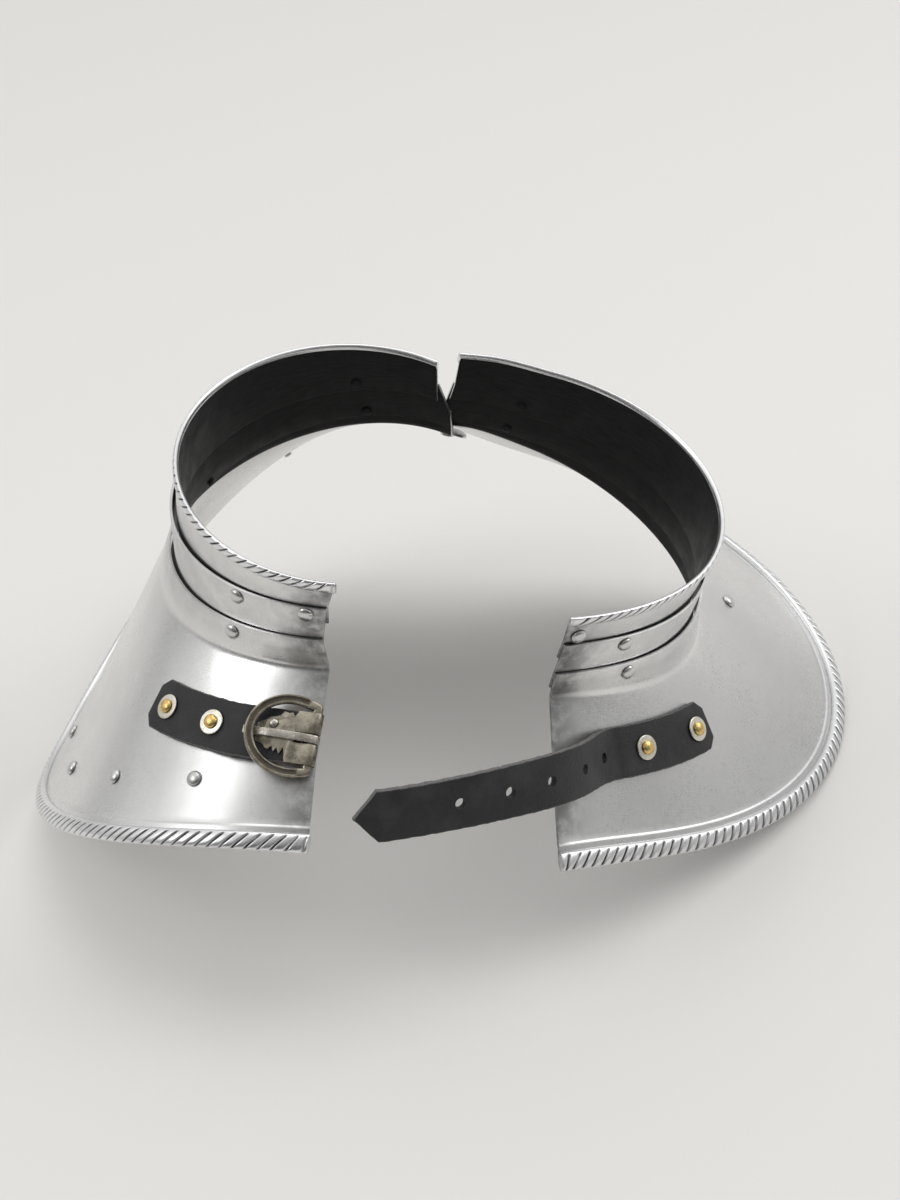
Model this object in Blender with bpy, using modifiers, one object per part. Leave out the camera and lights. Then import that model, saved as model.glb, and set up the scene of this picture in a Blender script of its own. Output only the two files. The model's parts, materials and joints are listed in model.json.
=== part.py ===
"""A steel gorget of two halves, opened on its shoulder rivet and resting by itself.

The halves are modelled in the closed collar's frame: +Z is the collar's axis, the front half lies
towards -X, the back half towards +X, the strap and buckle are at -Y and the pivot rivet at +Y.
An angle of 0 degrees is the middle of a half, and positive angles run towards the strap side.
The finished pieces are then turned to the pose in which the opened gorget rests.
"""
import math

import bmesh
import bpy
import numpy as np
from mathutils import Matrix, Vector
from mathutils.bvhtree import BVHTree

# Driving sizes in metres
SHEET = 0.0012
LAP_GAP = 0.0004
PIECE_GAP = 0.0003
NECK_RADIUS = 0.0755
NECK_HEIGHT = 0.0424
HEM_REACH = 0.1458
HEM_DROP = 0.0833
LAP_DEPTH = 0.0085
LAP_SPREAD = 0.0012
CREASE_RADIUS = 0.0025
FLARE_SAG = 0.0008
HEM_ROLL_LENGTH = 0.0031
HEM_ROLL_DEPTH = 0.0021
RIM_ROLL_LENGTH = 0.0019
RIM_ROLL_DEPTH = 0.0016
ROLL_END_ANGLE = 186.0
ROLL_STEPS = 5

# The back half's far end steps out over the front's
STEP_OUT = 0.0024
STEP_LIFT = 0.0024
STEP_START = 60.0
STEP_END = 82.0

# Steel rivets: dome head outside, peened head inside
RIVET_HEAD = 0.0033
RIVET_DOME = 0.0019
RIVET_SHANK = 0.0015
RIVET_PEEN = 0.0022
RIVET_PEEN_HEIGHT = 0.0009
SIGHT = 0.0120
PIVOT_HEAD = 0.0045
PIVOT_DOME = 0.0024
PIVOT_SHANK = 0.0021
PIVOT_PEEN = 0.0034
PIVOT_SETBACK = 0.0130
PIVOT_LOBE = 0.0085
PIVOT_GAP = 0.0004
FRONT_END_REACH = 0.0050
BACK_END_REACH = 0.0120
END_WEDGE = 20.5
LOBE_ANGLE = 64.0
END_CUT_INNER = 0.0400
END_CUT_OUTER = 0.0950
END_CUT_FAR = 0.0500
END_CUT_DEPTH = 0.0350

# Straps, washers and brass rivets
STRAP_WIDTH = 0.0218
STRAP_THICKNESS = 0.0028
STRAP_GAP = 0.0005
STRAP_CLIP = 0.0042
STRAP_POINT = 0.0095
STRAP_TIP = 0.0012
STRAP_RISE = 0.0200
PUNCH_DEPTH = 0.0120
HOLE_RADIUS = 0.0022
WASHER_RADIUS = 0.0053
WASHER_THICKNESS = 0.0008
BRASS_HEAD = 0.0030
BRASS_DOME = 0.0017
BRASS_SHANK = 0.0014

# Buckle
FRAME_WIRE = 0.0019
FRAME_WIDTH = 0.0300
FRAME_LENGTH = 0.0258
FRAME_SHOULDER = 0.0090
BAR_LENGTH = 0.0266
CHAPE_SHEET = 0.0008
CHAPE_WIDTH = 0.0216
CHAPE_LENGTH = 0.0227
CHAPE_TAPER = 0.0040
CHAPE_LOWER_SHARE = 0.55
CHAPE_SLOT = 0.0070
CHAPE_RIVET_BACK_SHARE = 0.72
CHAPE_RIVET_ACROSS = 0.0043
PRONG_LENGTH = 0.0282
PRONG_WIDTH = 0.0033
PRONG_THICKNESS = 0.0016
PRONG_LOOP = 0.0009
PRONG_RISE = 0.0058
PRONG_CHAMFER = 0.0012
CHAPE_RIVET = (0.0018, 0.0009, 0.0011, 0.0014, 0.0002)
# Edges of the chape's tail, towards the rim and towards the hem, as shares of its length and half width
CHAPE_EDGE_COLUMNS = ("back", "across")
CHAPE_RIM_EDGE = (
    (0.30, 1.20), (0.30, 0.99), (0.36, 0.76), (0.41, 0.90), (0.47, 0.86), (0.56, 0.90), (0.62, 0.73),
    (0.70, 0.66), (0.79, 0.62), (0.86, 0.50), (0.93, 0.42), (1.00, 0.33), (1.06, 0.33), (1.06, 1.20),
)
CHAPE_HEM_EDGE = (
    (0.40, 1.20), (0.42, 0.93), (0.47, 0.47), (0.53, 0.74), (0.59, 0.50), (0.64, 0.68), (0.68, 0.46),
    (0.74, 0.62), (0.80, 0.57), (0.86, 0.43), (1.00, 0.33), (1.06, 0.33), (1.06, 1.20),
)

# How the opened back half stands to the front half
OPEN_ANGLE = 36.9
OPEN_AXIS = (0.0537, 0.4428, 0.8950)
OPEN_ABOUT = (0.0, 0.0790, -0.0385)
VIEW_TURN = -17.1

STATIONS = 24
RIVET_SIDES = 8

# Lines of the sheets. Ends are degrees from the middle. Reach is a share of NECK_RADIUS and height
# a share of NECK_HEIGHT, each at the middle, at 45 degrees and at 90 degrees.
LINE_COLUMNS = ("name", "near_end", "far_end", "reach", "height")
FRONT_LINES = (
    ("rim", 92.3, 90.4, (1.137, 1.112, 0.992), (0.205, 0.140, 0.000)),
    ("first_lap", 89.6, 90.2, (1.202, 1.155, 1.020), (-0.389, -0.330, -0.306)),
    ("second_lap", 88.3, 94.5, (1.238, 1.187, 1.046), (-0.929, -0.792, -0.656)),
    ("crease", 90.2, 98.0, (1.303, 1.233, 1.062), (-1.292, -1.149, -1.005)),
)
BACK_LINES = (
    ("rim", 91.7, 91.0, (1.209, 1.107, 1.037), (0.052, 0.056, 0.056)),
    ("first_lap", 90.1, 90.0, (1.229, 1.119, 1.042), (-0.467, -0.400, -0.333)),
    ("second_lap", 89.8, 90.5, (1.264, 1.150, 1.066), (-0.877, -0.785, -0.689)),
    ("crease", 89.2, 91.5, (1.327, 1.195, 1.082), (-1.384, -1.182, -0.972)),
)
# Hem: reach is a share of HEM_REACH and drop a share of HEM_DROP, every 22.5 degrees from the middle.
HEM_COLUMNS = ("near_end", "far_end", "reach", "drop")
FRONT_HEM = (93.8, 92.0, (1.077, 1.100, 1.127, 1.095, 1.000), (2.204, 2.017, 1.568, 1.133, 1.000))
BACK_HEM = (90.4, 90.0, (1.311, 1.233, 1.071, 0.953, 0.962), (1.276, 1.257, 1.198, 1.104, 0.989))

# Rivets through the laps: half, lap, angle and distance below the lap's edge as a share of LAP_DEPTH
LAP_RIVET_COLUMNS = ("half", "lap", "angle", "below")
LAP_RIVETS = (
    ("front", "first", 83.4, 0.38),
    ("front", "first", 62.0, 0.50),
    ("front", "first", -63.5, 0.50),
    ("front", "second", 61.2, 0.55),
    ("front", "second", -14.0, 0.55),
    ("front", "second", -66.5, 0.55),
    ("back", "first", 67.5, 0.50),
    ("back", "first", -66.4, 0.50),
    ("back", "second", 63.5, 0.55),
    ("back", "second", -68.0, 0.55),
)
# Rivets through one sheet: half, line and angle, and where they sit as a share of that sheet
SHEET_RIVET_COLUMNS = ("half", "sheet", "angle", "share")
SHEET_RIVETS = (
    ("front", "flare", 70.5, 0.64),
    ("front", "flare", 53.0, 0.70),
    ("front", "flare", 37.0, 0.77),
    ("front", "flare", 21.2, 0.75),
    ("front", "flare", -52.0, 0.70),
    ("back", "flare", 0.0, 0.30),
    ("back", "top", 86.2, 0.72),
)
# Straps on the flare: angle and share of the flare at the tail and at the edge of the plate
BUCKLE_STRAP_COURSE = {"tail": (51.3, 0.322), "edge": (90.0, 0.400)}
HOLE_STRAP_COURSE = {"tail": (43.0, 0.330), "edge": (74.0, 0.365)}
BUCKLE_STRAP_RIVETS = (0.135, 0.475)
HOLE_STRAP_RIVETS = (0.155, 0.70)
# The hole strap beyond the plate: turns in degrees per step of its free length. Lift bends it off the
# plate, swing bends it in its own plane and twist turns it about its length.
FREE_LENGTH = 0.1370
FREE_STEPS = 12
FREE_COLUMNS = ("share", "lift", "swing", "twist")
FREE_COURSE = (
    (0.00, 22.5, 3.0, -4.7),
    (0.09, 9.5, 2.0, -2.3),
    (0.18, -4.5, 1.0, -0.8),
    (0.27, -11.8, 0.8, -0.4),
    (0.36, -11.2, 0.9, -1.5),
    (0.55, -4.5, 0.8, -2.7),
    (0.75, -3.0, 0.4, -1.4),
    (1.00, -3.0, -0.4, 1.2),
)
HOLE_SHARES = (0.069, 0.234, 0.387, 0.530, 0.688)

METAL_DENSITY = 7850.0
LEATHER_DENSITY = 950.0

STEEL = ((0.72, 0.73, 0.75), 0.28, 1.0)
BRASS = ((0.75, 0.55, 0.24), 0.35, 1.0)
PALE_BRASS = ((0.66, 0.62, 0.50), 0.40, 1.0)
NICKEL = ((0.36, 0.33, 0.27), 0.42, 1.0)
LEATHER = ((0.025, 0.025, 0.028), 0.60, 0.0)


def new_collection(name):
    """A collection linked to the scene."""
    collection = bpy.data.collections.new(name)
    bpy.context.scene.collection.children.link(collection)
    return collection


def add_object(name, data, collection):
    """An object with the given data in a collection."""
    item = bpy.data.objects.new(name, data)
    collection.objects.link(item)
    return item


def finish(item, look):
    """Gives a piece its own Principled material and smooth shading."""
    colour, roughness, metallic = look
    material = bpy.data.materials.new(item.name)
    material.use_nodes = True
    shader = material.node_tree.nodes["Principled BSDF"]
    shader.inputs["Base Color"].default_value = (*colour, 1.0)
    shader.inputs["Roughness"].default_value = roughness
    shader.inputs["Metallic"].default_value = metallic
    item.data.materials.clear()
    item.data.materials.append(material)
    item.data.shade_smooth()
    return item


def even_curve(values):
    """A smooth even curve through values spaced evenly from the middle to 90 degrees."""
    angles = np.linspace(0.0, math.pi / 2.0, len(values))
    basis = np.cos(np.outer(angles, np.arange(len(values))))
    weights = np.linalg.solve(basis, np.array(values))
    return lambda angle: float(sum(w * math.cos(k * angle) for k, w in enumerate(weights)))


def smooth_step(start, end, value):
    """0 before start, 1 after end and a smooth ramp between."""
    share = min(max((value - start) / (end - start), 0.0), 1.0)
    return share * share * (3.0 - 2.0 * share)


class Half:
    """The outline of one half of the collar: its lines as reach and height by angle."""

    def __init__(self, side, lines, hem):
        self.side = side
        self.curves = {}
        self.ends = {}
        for name, near_end, far_end, reach, height in lines:
            self.curves[name] = (even_curve([r * NECK_RADIUS for r in reach]),
                                 even_curve([h * NECK_HEIGHT for h in height]))
            self.ends[name] = (near_end, far_end)
        near_end, far_end, reach, drop = hem
        self.curves["hem"] = (even_curve([r * HEM_REACH for r in reach]),
                              even_curve([-d * HEM_DROP for d in drop]))
        self.ends["hem"] = (near_end, far_end)

    def line(self, name, degrees):
        """Reach and height of a line, with the back half's far end stepped out and lifted."""
        reach, height = (curve(math.radians(degrees)) for curve in self.curves[name])
        step = smooth_step(STEP_START, STEP_END, -degrees) if self.side > 0 else 0.0
        if name == "hem":
            return np.array([reach, height + STEP_LIFT * step])
        return np.array([reach + STEP_OUT * step, height])

    def place(self, degrees, reach_height):
        """The point in space at an angle, a reach and a height."""
        angle = math.radians(degrees)
        reach, height = reach_height
        return Vector((self.side * reach * math.cos(angle), -reach * math.sin(angle), height))

    def flare_point(self, degrees, share):
        """Reach and height on the flare between the crease and the hem."""
        crease = self.line("crease", degrees)
        hem = self.line("hem", degrees)
        run = (hem - crease) / np.linalg.norm(hem - crease)
        inward = np.array([run[1], -run[0]])
        return crease + (hem - crease) * share + inward * FLARE_SAG * 4.0 * share * (1.0 - share)

    def flare_place(self, degrees, share):
        """The point on the flare and the outward normal there."""
        point = self.place(degrees, self.flare_point(degrees, share))
        along = self.place(degrees + 0.5, self.flare_point(degrees + 0.5, share)) - point
        down = self.place(degrees, self.flare_point(degrees, share + 0.01)) - point
        normal = along.cross(down).normalized()
        if normal.z < 0.0:
            normal.negate()
        return point, normal


FRONT = Half(-1.0, FRONT_LINES, FRONT_HEM)
BACK = Half(1.0, BACK_LINES, BACK_HEM)
HALVES = {"front": FRONT, "back": BACK}


def rolled_edge(edge, run, outward, length, depth):
    """Section points of a rolled edge that starts on the sheet and ends on its outer side.

    edge is the outermost point, run points off the sheet and outward is the sheet's outer normal.
    """
    centre = edge - run * length + outward * depth
    points = []
    for step in range(ROLL_STEPS + 1):
        angle = math.radians(-90.0 + (ROLL_END_ANGLE + 90.0) * step / ROLL_STEPS)
        points.append(centre + run * length * math.cos(angle) + outward * depth * math.sin(angle))
    return points


def lap_inset(degrees):
    """How far the upper sheet's lower edge lies inside the lower sheet, middle face to middle face."""
    return SHEET + LAP_GAP + LAP_SPREAD * max(math.cos(math.radians(degrees)), 0.0) ** 2


def between(upper, lower, height):
    """The point at a height on the straight line from upper to lower."""
    share = (height - upper[1]) / (lower[1] - upper[1])
    return upper + (lower - upper) * share


def under(edge, lower, degrees):
    """Where the upper sheet passes behind the lower sheet's top edge, and its own lower edge."""
    inset = np.array([lap_inset(degrees), 0.0])
    return [edge - inset, between(edge, lower, edge[1] - LAP_DEPTH) - inset]


def top_section(half, degrees):
    """Section of the top lame, from the end of the rim's roll down to the hidden lower edge."""
    rim = half.line("rim", degrees)
    knee, bottom = under(half.line("first_lap", degrees), middle_section(half, degrees)[2], degrees)
    run = (rim - knee) / np.linalg.norm(rim - knee)
    outward = np.array([run[1], -run[0]])
    roll = rolled_edge(rim, run, outward, RIM_ROLL_LENGTH, RIM_ROLL_DEPTH)
    return roll[::-1] + [(roll[0] + knee) / 2.0, knee, bottom]


def middle_section(half, degrees):
    """Section of the middle lame."""
    first = half.line("first_lap", degrees)
    knee, bottom = under(half.line("second_lap", degrees), half.line("crease", degrees), degrees)
    return [first, (first + knee) / 2.0, knee, bottom]


def base_section(half, degrees):
    """Section of the base plate: flange, crease, flare and rolled hem."""
    second = half.line("second_lap", degrees)
    crease = half.line("crease", degrees)
    hem = half.line("hem", degrees)
    up = (second - crease) / np.linalg.norm(second - crease)
    run = (hem - crease) / np.linalg.norm(hem - crease)
    outward = np.array([-run[1], run[0]])
    bend = [crease + up * CREASE_RADIUS,
            crease + (up + run) * CREASE_RADIUS * 0.22,
            crease + run * CREASE_RADIUS]
    roll = rolled_edge(hem, run, outward, HEM_ROLL_LENGTH, HEM_ROLL_DEPTH)
    first_share = CREASE_RADIUS / np.linalg.norm(hem - crease)
    last_share = 1.0 - HEM_ROLL_LENGTH / np.linalg.norm(hem - crease)
    flare = [half.flare_point(degrees, first_share + (last_share - first_share) * share)
             for share in (0.2, 0.4, 0.6, 0.8)]
    return [second, (second + bend[0]) / 2.0] + bend + flare + roll


SHEETS = {
    "top_lame": (top_section, ("rim", "first_lap")),
    "middle_lame": (middle_section, ("first_lap", "second_lap")),
    "base_plate": (base_section, ("second_lap", "crease", "hem")),
}


def row_ends(half, names, section, row):
    """Near and far end angles of one row of a sheet, by its height between the named lines."""
    middle = section[row]
    heights = [half.line(name, 90.0)[1] for name in names]
    ends = [half.ends[name] for name in names]
    order = np.argsort(heights)
    near = np.interp(middle[1], [heights[i] for i in order], [ends[i][0] for i in order])
    far = np.interp(middle[1], [heights[i] for i in order], [ends[i][1] for i in order])
    return float(near), float(far)


def sheet_mesh(name, half, section_of, line_names):
    """An open sheet lofted through the stations of a half, later thickened."""
    end_section = section_of(half, 90.0)
    rows = len(end_section)
    ends = [row_ends(half, line_names, end_section, row) for row in range(rows)]
    mesh = bpy.data.meshes.new(name)
    shape = bmesh.new()
    grid = []
    for station in range(STATIONS + 1):
        share = station / STATIONS
        column = []
        for row, (near, far) in enumerate(ends):
            degrees = -far + (near + far) * share
            column.append(shape.verts.new(half.place(degrees, section_of(half, degrees)[row])))
        grid.append(column)
    for left, right in zip(grid, grid[1:]):
        for row in range(rows - 1):
            corners = (left[row], left[row + 1], right[row + 1], right[row])
            shape.faces.new(corners if half.side > 0 else corners[::-1])
    shape.to_mesh(mesh)
    shape.free()
    return mesh


def make_sheet(half_name, kind, parts):
    """One steel sheet of a half, thickened about its middle face."""
    half = HALVES[half_name]
    section_of, line_names = SHEETS[kind]
    name = f"{half_name}_{kind}"
    item = add_object(name, sheet_mesh(name, half, section_of, line_names), parts)
    wall = item.modifiers.new("wall", "SOLIDIFY")
    wall.thickness = SHEET
    wall.offset = 0.0
    wall.use_even_offset = True
    return finish(item, STEEL)


def frame_of(origin, along, normal):
    """A matrix whose X runs along and whose Z is the normal."""
    z_axis = normal.normalized()
    y_axis = z_axis.cross(along).normalized()
    x_axis = y_axis.cross(z_axis)
    matrix = Matrix.Identity(4)
    for index, axis in enumerate((x_axis, y_axis, z_axis)):
        matrix.col[index][:3] = axis
    matrix.col[3][:3] = origin
    return matrix


def turned(name, profile, sides, matrix, collection):
    """A solid of revolution about the matrix's Z from (radius, height) points, top to bottom."""
    mesh = bpy.data.meshes.new(name)
    points = [(radius, 0.0, height) for radius, height in profile]
    mesh.from_pydata(points, [(i, i + 1) for i in range(len(points) - 1)], [])
    item = add_object(name, mesh, collection)
    item.matrix_world = matrix
    screw = item.modifiers.new("turn", "SCREW")
    screw.steps = sides
    screw.render_steps = sides
    screw.use_merge_vertices = True
    screw.merge_threshold = 0.00001
    screw.use_normal_calculate = False
    return item


def add_cut(item, cutter):
    """Subtracts a cutter from a piece."""
    cut = item.modifiers.new("cut", "BOOLEAN")
    cut.operation = "DIFFERENCE"
    cut.solver = "EXACT"
    cut.object = cutter


def hide_cutter(cutter):
    """Marks an object as a cutter."""
    cutter.hide_render = True
    cutter.display_type = "WIRE"
    return cutter


def drill(items, name, radius, matrix, depth, cutters):
    """Bores a round hole through pieces along the matrix's Z."""
    profile = [(0.0, depth), (radius, depth), (radius, -depth), (0.0, -depth)]
    bore = hide_cutter(turned(f"{name}_bore", profile, RIVET_SIDES, matrix, cutters))
    for item in items:
        add_cut(item, bore)


def face_heights(items, matrix, head, peen):
    """Greatest height under the head and least height over the peen, along the matrix's Z."""
    graph = bpy.context.evaluated_depsgraph_get()
    normal = matrix.col[2].to_3d()
    tops, bottoms = [], []
    for item in items:
        tree = BVHTree.FromObject(item, graph)
        local = item.matrix_world.inverted()
        down = (local.to_3x3() @ -normal).normalized()
        for radius, start, heading, found in ((head, SIGHT, down, tops), (peen, -SIGHT, -down, bottoms)):
            for step in range(9):
                angle = math.radians(45.0 * step)
                reach = radius if step < 8 else 0.0
                spot = matrix @ Vector((reach * math.cos(angle), reach * math.sin(angle), start))
                hit = tree.ray_cast(local @ spot, heading, 2.0 * SIGHT)[0]
                if hit is not None:
                    found.append((matrix.inverted() @ (item.matrix_world @ hit)).z)
    return max(tops), min(bottoms)


def add_rivet(name, items, matrix, sizes, look, parts, cutters, seat=None, gap=PIECE_GAP):
    """A rivet through pieces along the matrix's Z: dome outside, shank in its bore, peened head inside.

    seat is the height of a washer's face if one lies under the head, and gap is the heads' play.
    """
    head, dome, shank, peen, peen_height = sizes
    top, bottom = face_heights(items, matrix, head, peen)
    upper = (top if seat is None else seat) + gap
    lower = bottom - gap
    profile = [(0.0, upper + dome), (head * 0.55, upper + dome * 0.84), (head * 0.9, upper + dome * 0.42),
               (head, upper), (shank, upper), (shank, lower), (peen, lower),
               (peen * 0.75, lower - peen_height), (0.0, lower - peen_height)]
    rivet = turned(name, profile, RIVET_SIDES, matrix, parts)
    drill(items, name, shank + PIECE_GAP, matrix, SIGHT, cutters)
    return finish(rivet, look)


STEEL_RIVET = (RIVET_HEAD, RIVET_DOME, RIVET_SHANK, RIVET_PEEN, RIVET_PEEN_HEIGHT)
BRASS_RIVET = (BRASS_HEAD, BRASS_DOME, BRASS_SHANK, RIVET_PEEN, RIVET_PEEN_HEIGHT)
PIVOT_RIVET = (PIVOT_HEAD, PIVOT_DOME, PIVOT_SHANK, PIVOT_PEEN, RIVET_PEEN_HEIGHT)


def wall_frame(half, degrees, section_point):
    """A frame on a sheet of the neck: X along the band, Z outward. section_point also takes a drop."""
    point = half.place(degrees, section_point(degrees, 0.0))
    along = half.place(degrees + 0.5, section_point(degrees + 0.5, 0.0)) - point
    downward = half.place(degrees, section_point(degrees, LAP_DEPTH / 4.0)) - point
    normal = along.cross(downward).normalized()
    if normal.dot(Vector((point.x, point.y, 0.0))) < 0.0:
        normal.negate()
    return frame_of(point, along, normal)


def lap_rivets(sheets, parts, cutters):
    """The rivets that hold the bands of each half together."""
    made = {"front": [], "back": []}
    for half_name, lap, degrees, below in LAP_RIVETS:
        half = HALVES[half_name]
        upper_kind, lower_kind = {"first": ("top_lame", "middle_lame"),
                                  "second": ("middle_lame", "base_plate")}[lap]

        def section_point(angle, drop, half=half, lap=lap, below=below):
            edge = half.line(f"{lap}_lap", angle)
            lower = middle_section(half, angle)[2] if lap == "first" else half.line("crease", angle)
            return between(edge, lower, edge[1] - LAP_DEPTH * below - drop)

        items = [sheets[half_name, upper_kind], sheets[half_name, lower_kind]]
        name = f"{half_name}_lame_rivet_{len(made[half_name]) + 1}"
        matrix = wall_frame(half, degrees, section_point)
        made[half_name].append(add_rivet(name, items, matrix, STEEL_RIVET, STEEL, parts, cutters))
    return made


def sheet_rivets(sheets, parts, cutters):
    """The rivets that pass through one sheet."""
    made = {"front": [], "back": []}
    for half_name, place, degrees, share in SHEET_RIVETS:
        half = HALVES[half_name]
        if place == "flare":
            point, normal = half.flare_place(degrees, share)
            along = half.flare_place(degrees + 0.5, share)[0] - point
            matrix, item = frame_of(point, along, normal), sheets[half_name, "base_plate"]
        else:
            def section_point(angle, drop, half=half, share=share):
                rim, lap = half.line("rim", angle), half.line("first_lap", angle)
                return between(rim, lap, rim[1] + (lap[1] - rim[1]) * share - drop)
            matrix, item = wall_frame(half, degrees, section_point), sheets[half_name, "top_lame"]
        name = f"{half_name}_plate_rivet_{len(made[half_name]) + 1}"
        made[half_name].append(add_rivet(name, [item], matrix, STEEL_RIVET, STEEL, parts, cutters))
    return made


def pivot_frame():
    """The pivot's frame on the front flare's far end: Z is the joint axis and Y points to the hem."""
    crease, hem = FRONT.line("crease", -90.0), FRONT.line("hem", -90.0)
    share = PIVOT_SETBACK / float(np.linalg.norm(hem - crease))
    point = FRONT.flare_place(-90.0, share)[0]
    return frame_of(point, Vector((1.0, 0.0, 0.0)), Vector(OPEN_AXIS))


def open_pose():
    """The turn that brings the back half from the closed collar's frame to the opened pose."""
    about = Matrix.Translation(Vector(OPEN_ABOUT))
    return about @ Matrix.Rotation(math.radians(OPEN_ANGLE), 4, Vector(OPEN_AXIS)) @ about.inverted()


def solid_of(guide, name, collection):
    """Turns a curve object into a closed mesh object and removes the curve."""
    matrix = guide.matrix_world.copy()
    mesh = bpy.data.meshes.new_from_object(guide.evaluated_get(bpy.context.evaluated_depsgraph_get()))
    bpy.data.objects.remove(guide)
    shape = bmesh.new()
    shape.from_mesh(mesh)
    bmesh.ops.remove_doubles(shape, verts=shape.verts, dist=0.000001)
    bmesh.ops.recalc_face_normals(shape, faces=shape.faces)
    shape.to_mesh(mesh)
    shape.free()
    mesh.name = name
    item = add_object(name, mesh, collection)
    item.matrix_world = matrix
    return item


def prism(name, outlines, depth, matrix, collection):
    """A straight-sided solid from flat outlines in the matrix's XY, depth to each side.

    Outlines after the first are holes.
    """
    curve = bpy.data.curves.new(name, "CURVE")
    curve.dimensions = "2D"
    curve.fill_mode = "BOTH"
    curve.extrude = depth
    for outline in outlines:
        spline = curve.splines.new("POLY")
        spline.points.add(len(outline) - 1)
        for point, (x, y) in zip(spline.points, outline):
            point.co = (x, y, 0.0, 1.0)
        spline.use_cyclic_u = True
    guide = add_object(f"{name}_guide", curve, collection)
    guide.matrix_world = matrix
    return solid_of(guide, name, collection)


def end_outline(side, inner_reach):
    """What is cut off a plate's far end: all beyond its straight edges and its round pivot lobe.

    side is -1 for the front half, whose plate lies towards -X. inner_reach is how far the plate runs
    past the pivot on the neck's side. Beyond the lobe the edge leans away by END_WEDGE.
    """
    inner, outer, far = -END_CUT_INNER, END_CUT_OUTER, -side * END_CUT_FAR
    ramp = PIVOT_LOBE * math.sin(math.radians(LOBE_ANGLE))
    slope = math.tan(math.radians(END_WEDGE))
    edge = [(far, inner), (-side * inner_reach, inner), (-side * inner_reach, -ramp)]
    edge += [(-side * x, y) for x, y in arc(PIVOT_LOBE, -LOBE_ANGLE, LOBE_ANGLE, 8)]
    edge.append((side * slope * ramp, ramp * 1.02))
    edge.append((side * slope * outer, outer))
    edge.append((far, outer))
    return edge


def cut_far_ends(sheets, pivot, cutters):
    """Trims both base plates round the pivot, so that one turns over the other."""
    to_back = open_pose().inverted() @ pivot @ Matrix.Rotation(math.radians(OPEN_ANGLE), 4, "Z")
    for half_name, side, matrix, reach in (("front", -1.0, pivot, FRONT_END_REACH),
                                           ("back", 1.0, to_back, BACK_END_REACH)):
        outline = end_outline(side, reach)
        cutter = prism(f"{half_name}_end_cutter", [outline], END_CUT_DEPTH, matrix, cutters)
        add_cut(sheets[half_name, "base_plate"], hide_cutter(cutter))


def sweep(name, frames, widths, thickness, collection):
    """A flat strip swept through frames: X along, Y across, Z its outward face; one width for each."""
    mesh = bpy.data.meshes.new(name)
    shape = bmesh.new()
    rings = []
    for matrix, width in zip(frames, widths):
        corners = ((-0.5 * width, 0.0), (0.5 * width, 0.0), (0.5 * width, thickness),
                   (-0.5 * width, thickness))
        rings.append([shape.verts.new(matrix @ Vector((0.0, y, z))) for y, z in corners])
    for first, second in zip(rings, rings[1:]):
        for index in range(4):
            follow = (index + 1) % 4
            shape.faces.new((first[index], first[follow], second[follow], second[index]))
    shape.faces.new(rings[0][::-1])
    shape.faces.new(rings[-1])
    bmesh.ops.recalc_face_normals(shape, faces=shape.faces)
    shape.to_mesh(mesh)
    shape.free()
    return add_object(name, mesh, collection)


def flare_course(half, course, steps):
    """Frames of a strap's underside on a flare, from its tail to the plate's edge."""
    (tail_angle, tail_share), (edge_angle, edge_share) = course["tail"], course["edge"]

    def at(share):
        degrees = tail_angle + (edge_angle - tail_angle) * share
        return half.flare_place(degrees, tail_share + (edge_share - tail_share) * share)

    frames = []
    for step in range(steps + 1):
        share = step / steps
        point, normal = at(share)
        along = at(share + 0.01)[0] - at(share - 0.01)[0]
        frames.append(frame_of(point + normal * (SHEET / 2.0 + STRAP_GAP), along, normal))
    return frames


def distances(frames):
    """Running length through frames."""
    total = [0.0]
    for first, second in zip(frames, frames[1:]):
        total.append(total[-1] + (second.to_translation() - first.to_translation()).length)
    return total


def frame_at(frames, length):
    """The frame at a running length, blended from its neighbours."""
    total = distances(frames)
    for index in range(len(frames) - 1):
        if length <= total[index + 1] or index == len(frames) - 2:
            share = (length - total[index]) / (total[index + 1] - total[index])
            first, second = frames[index], frames[index + 1]
            point = first.to_translation().lerp(second.to_translation(), share)
            turn = first.to_quaternion().slerp(second.to_quaternion(), share)
            return Matrix.Translation(point) @ turn.to_matrix().to_4x4()
    return frames[-1]


def clipped(length, total):
    """The strap's width at a length from its tail, whose corners are cut off."""
    if length < STRAP_CLIP:
        return STRAP_WIDTH - 2.0 * STRAP_CLIP * (1.0 - length / STRAP_CLIP)
    return STRAP_WIDTH


def resample(frames, lengths):
    """Frames at chosen running lengths."""
    return [frame_at(frames, length) for length in lengths]


def strap_rivets(strap, plate, frames, lengths, first_number, parts, cutters):
    """Brass rivets with washers through a strap and the plate under it."""
    made = []
    for offset, length in enumerate(lengths):
        number = first_number + offset
        matrix = frame_at(frames, length)
        under = face_heights([strap], matrix, WASHER_RADIUS, WASHER_RADIUS)[0] + PIECE_GAP
        face = under + WASHER_THICKNESS
        bore = BRASS_SHANK + PIECE_GAP
        profile = [(bore, face), (WASHER_RADIUS * 0.9, face), (WASHER_RADIUS, face - WASHER_THICKNESS * 0.5),
                   (WASHER_RADIUS, under), (bore, under), (bore, face)]
        made.append(finish(turned(f"strap_washer_{number}", profile, 12, matrix, parts), PALE_BRASS))
        made.append(add_rivet(f"strap_rivet_{number}", [strap, plate], matrix, BRASS_RIVET, BRASS,
                              parts, cutters, face))
    return made


def bar_lift():
    """Height of the buckle strap's underside over the plate where the chape wraps the bar."""
    return chape_outer() + PIECE_GAP - STRAP_THICKNESS / 2.0


def loop_outer():
    """Outer radius of the prong's loop about the bar."""
    return FRAME_WIRE + PIECE_GAP + PRONG_LOOP


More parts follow.
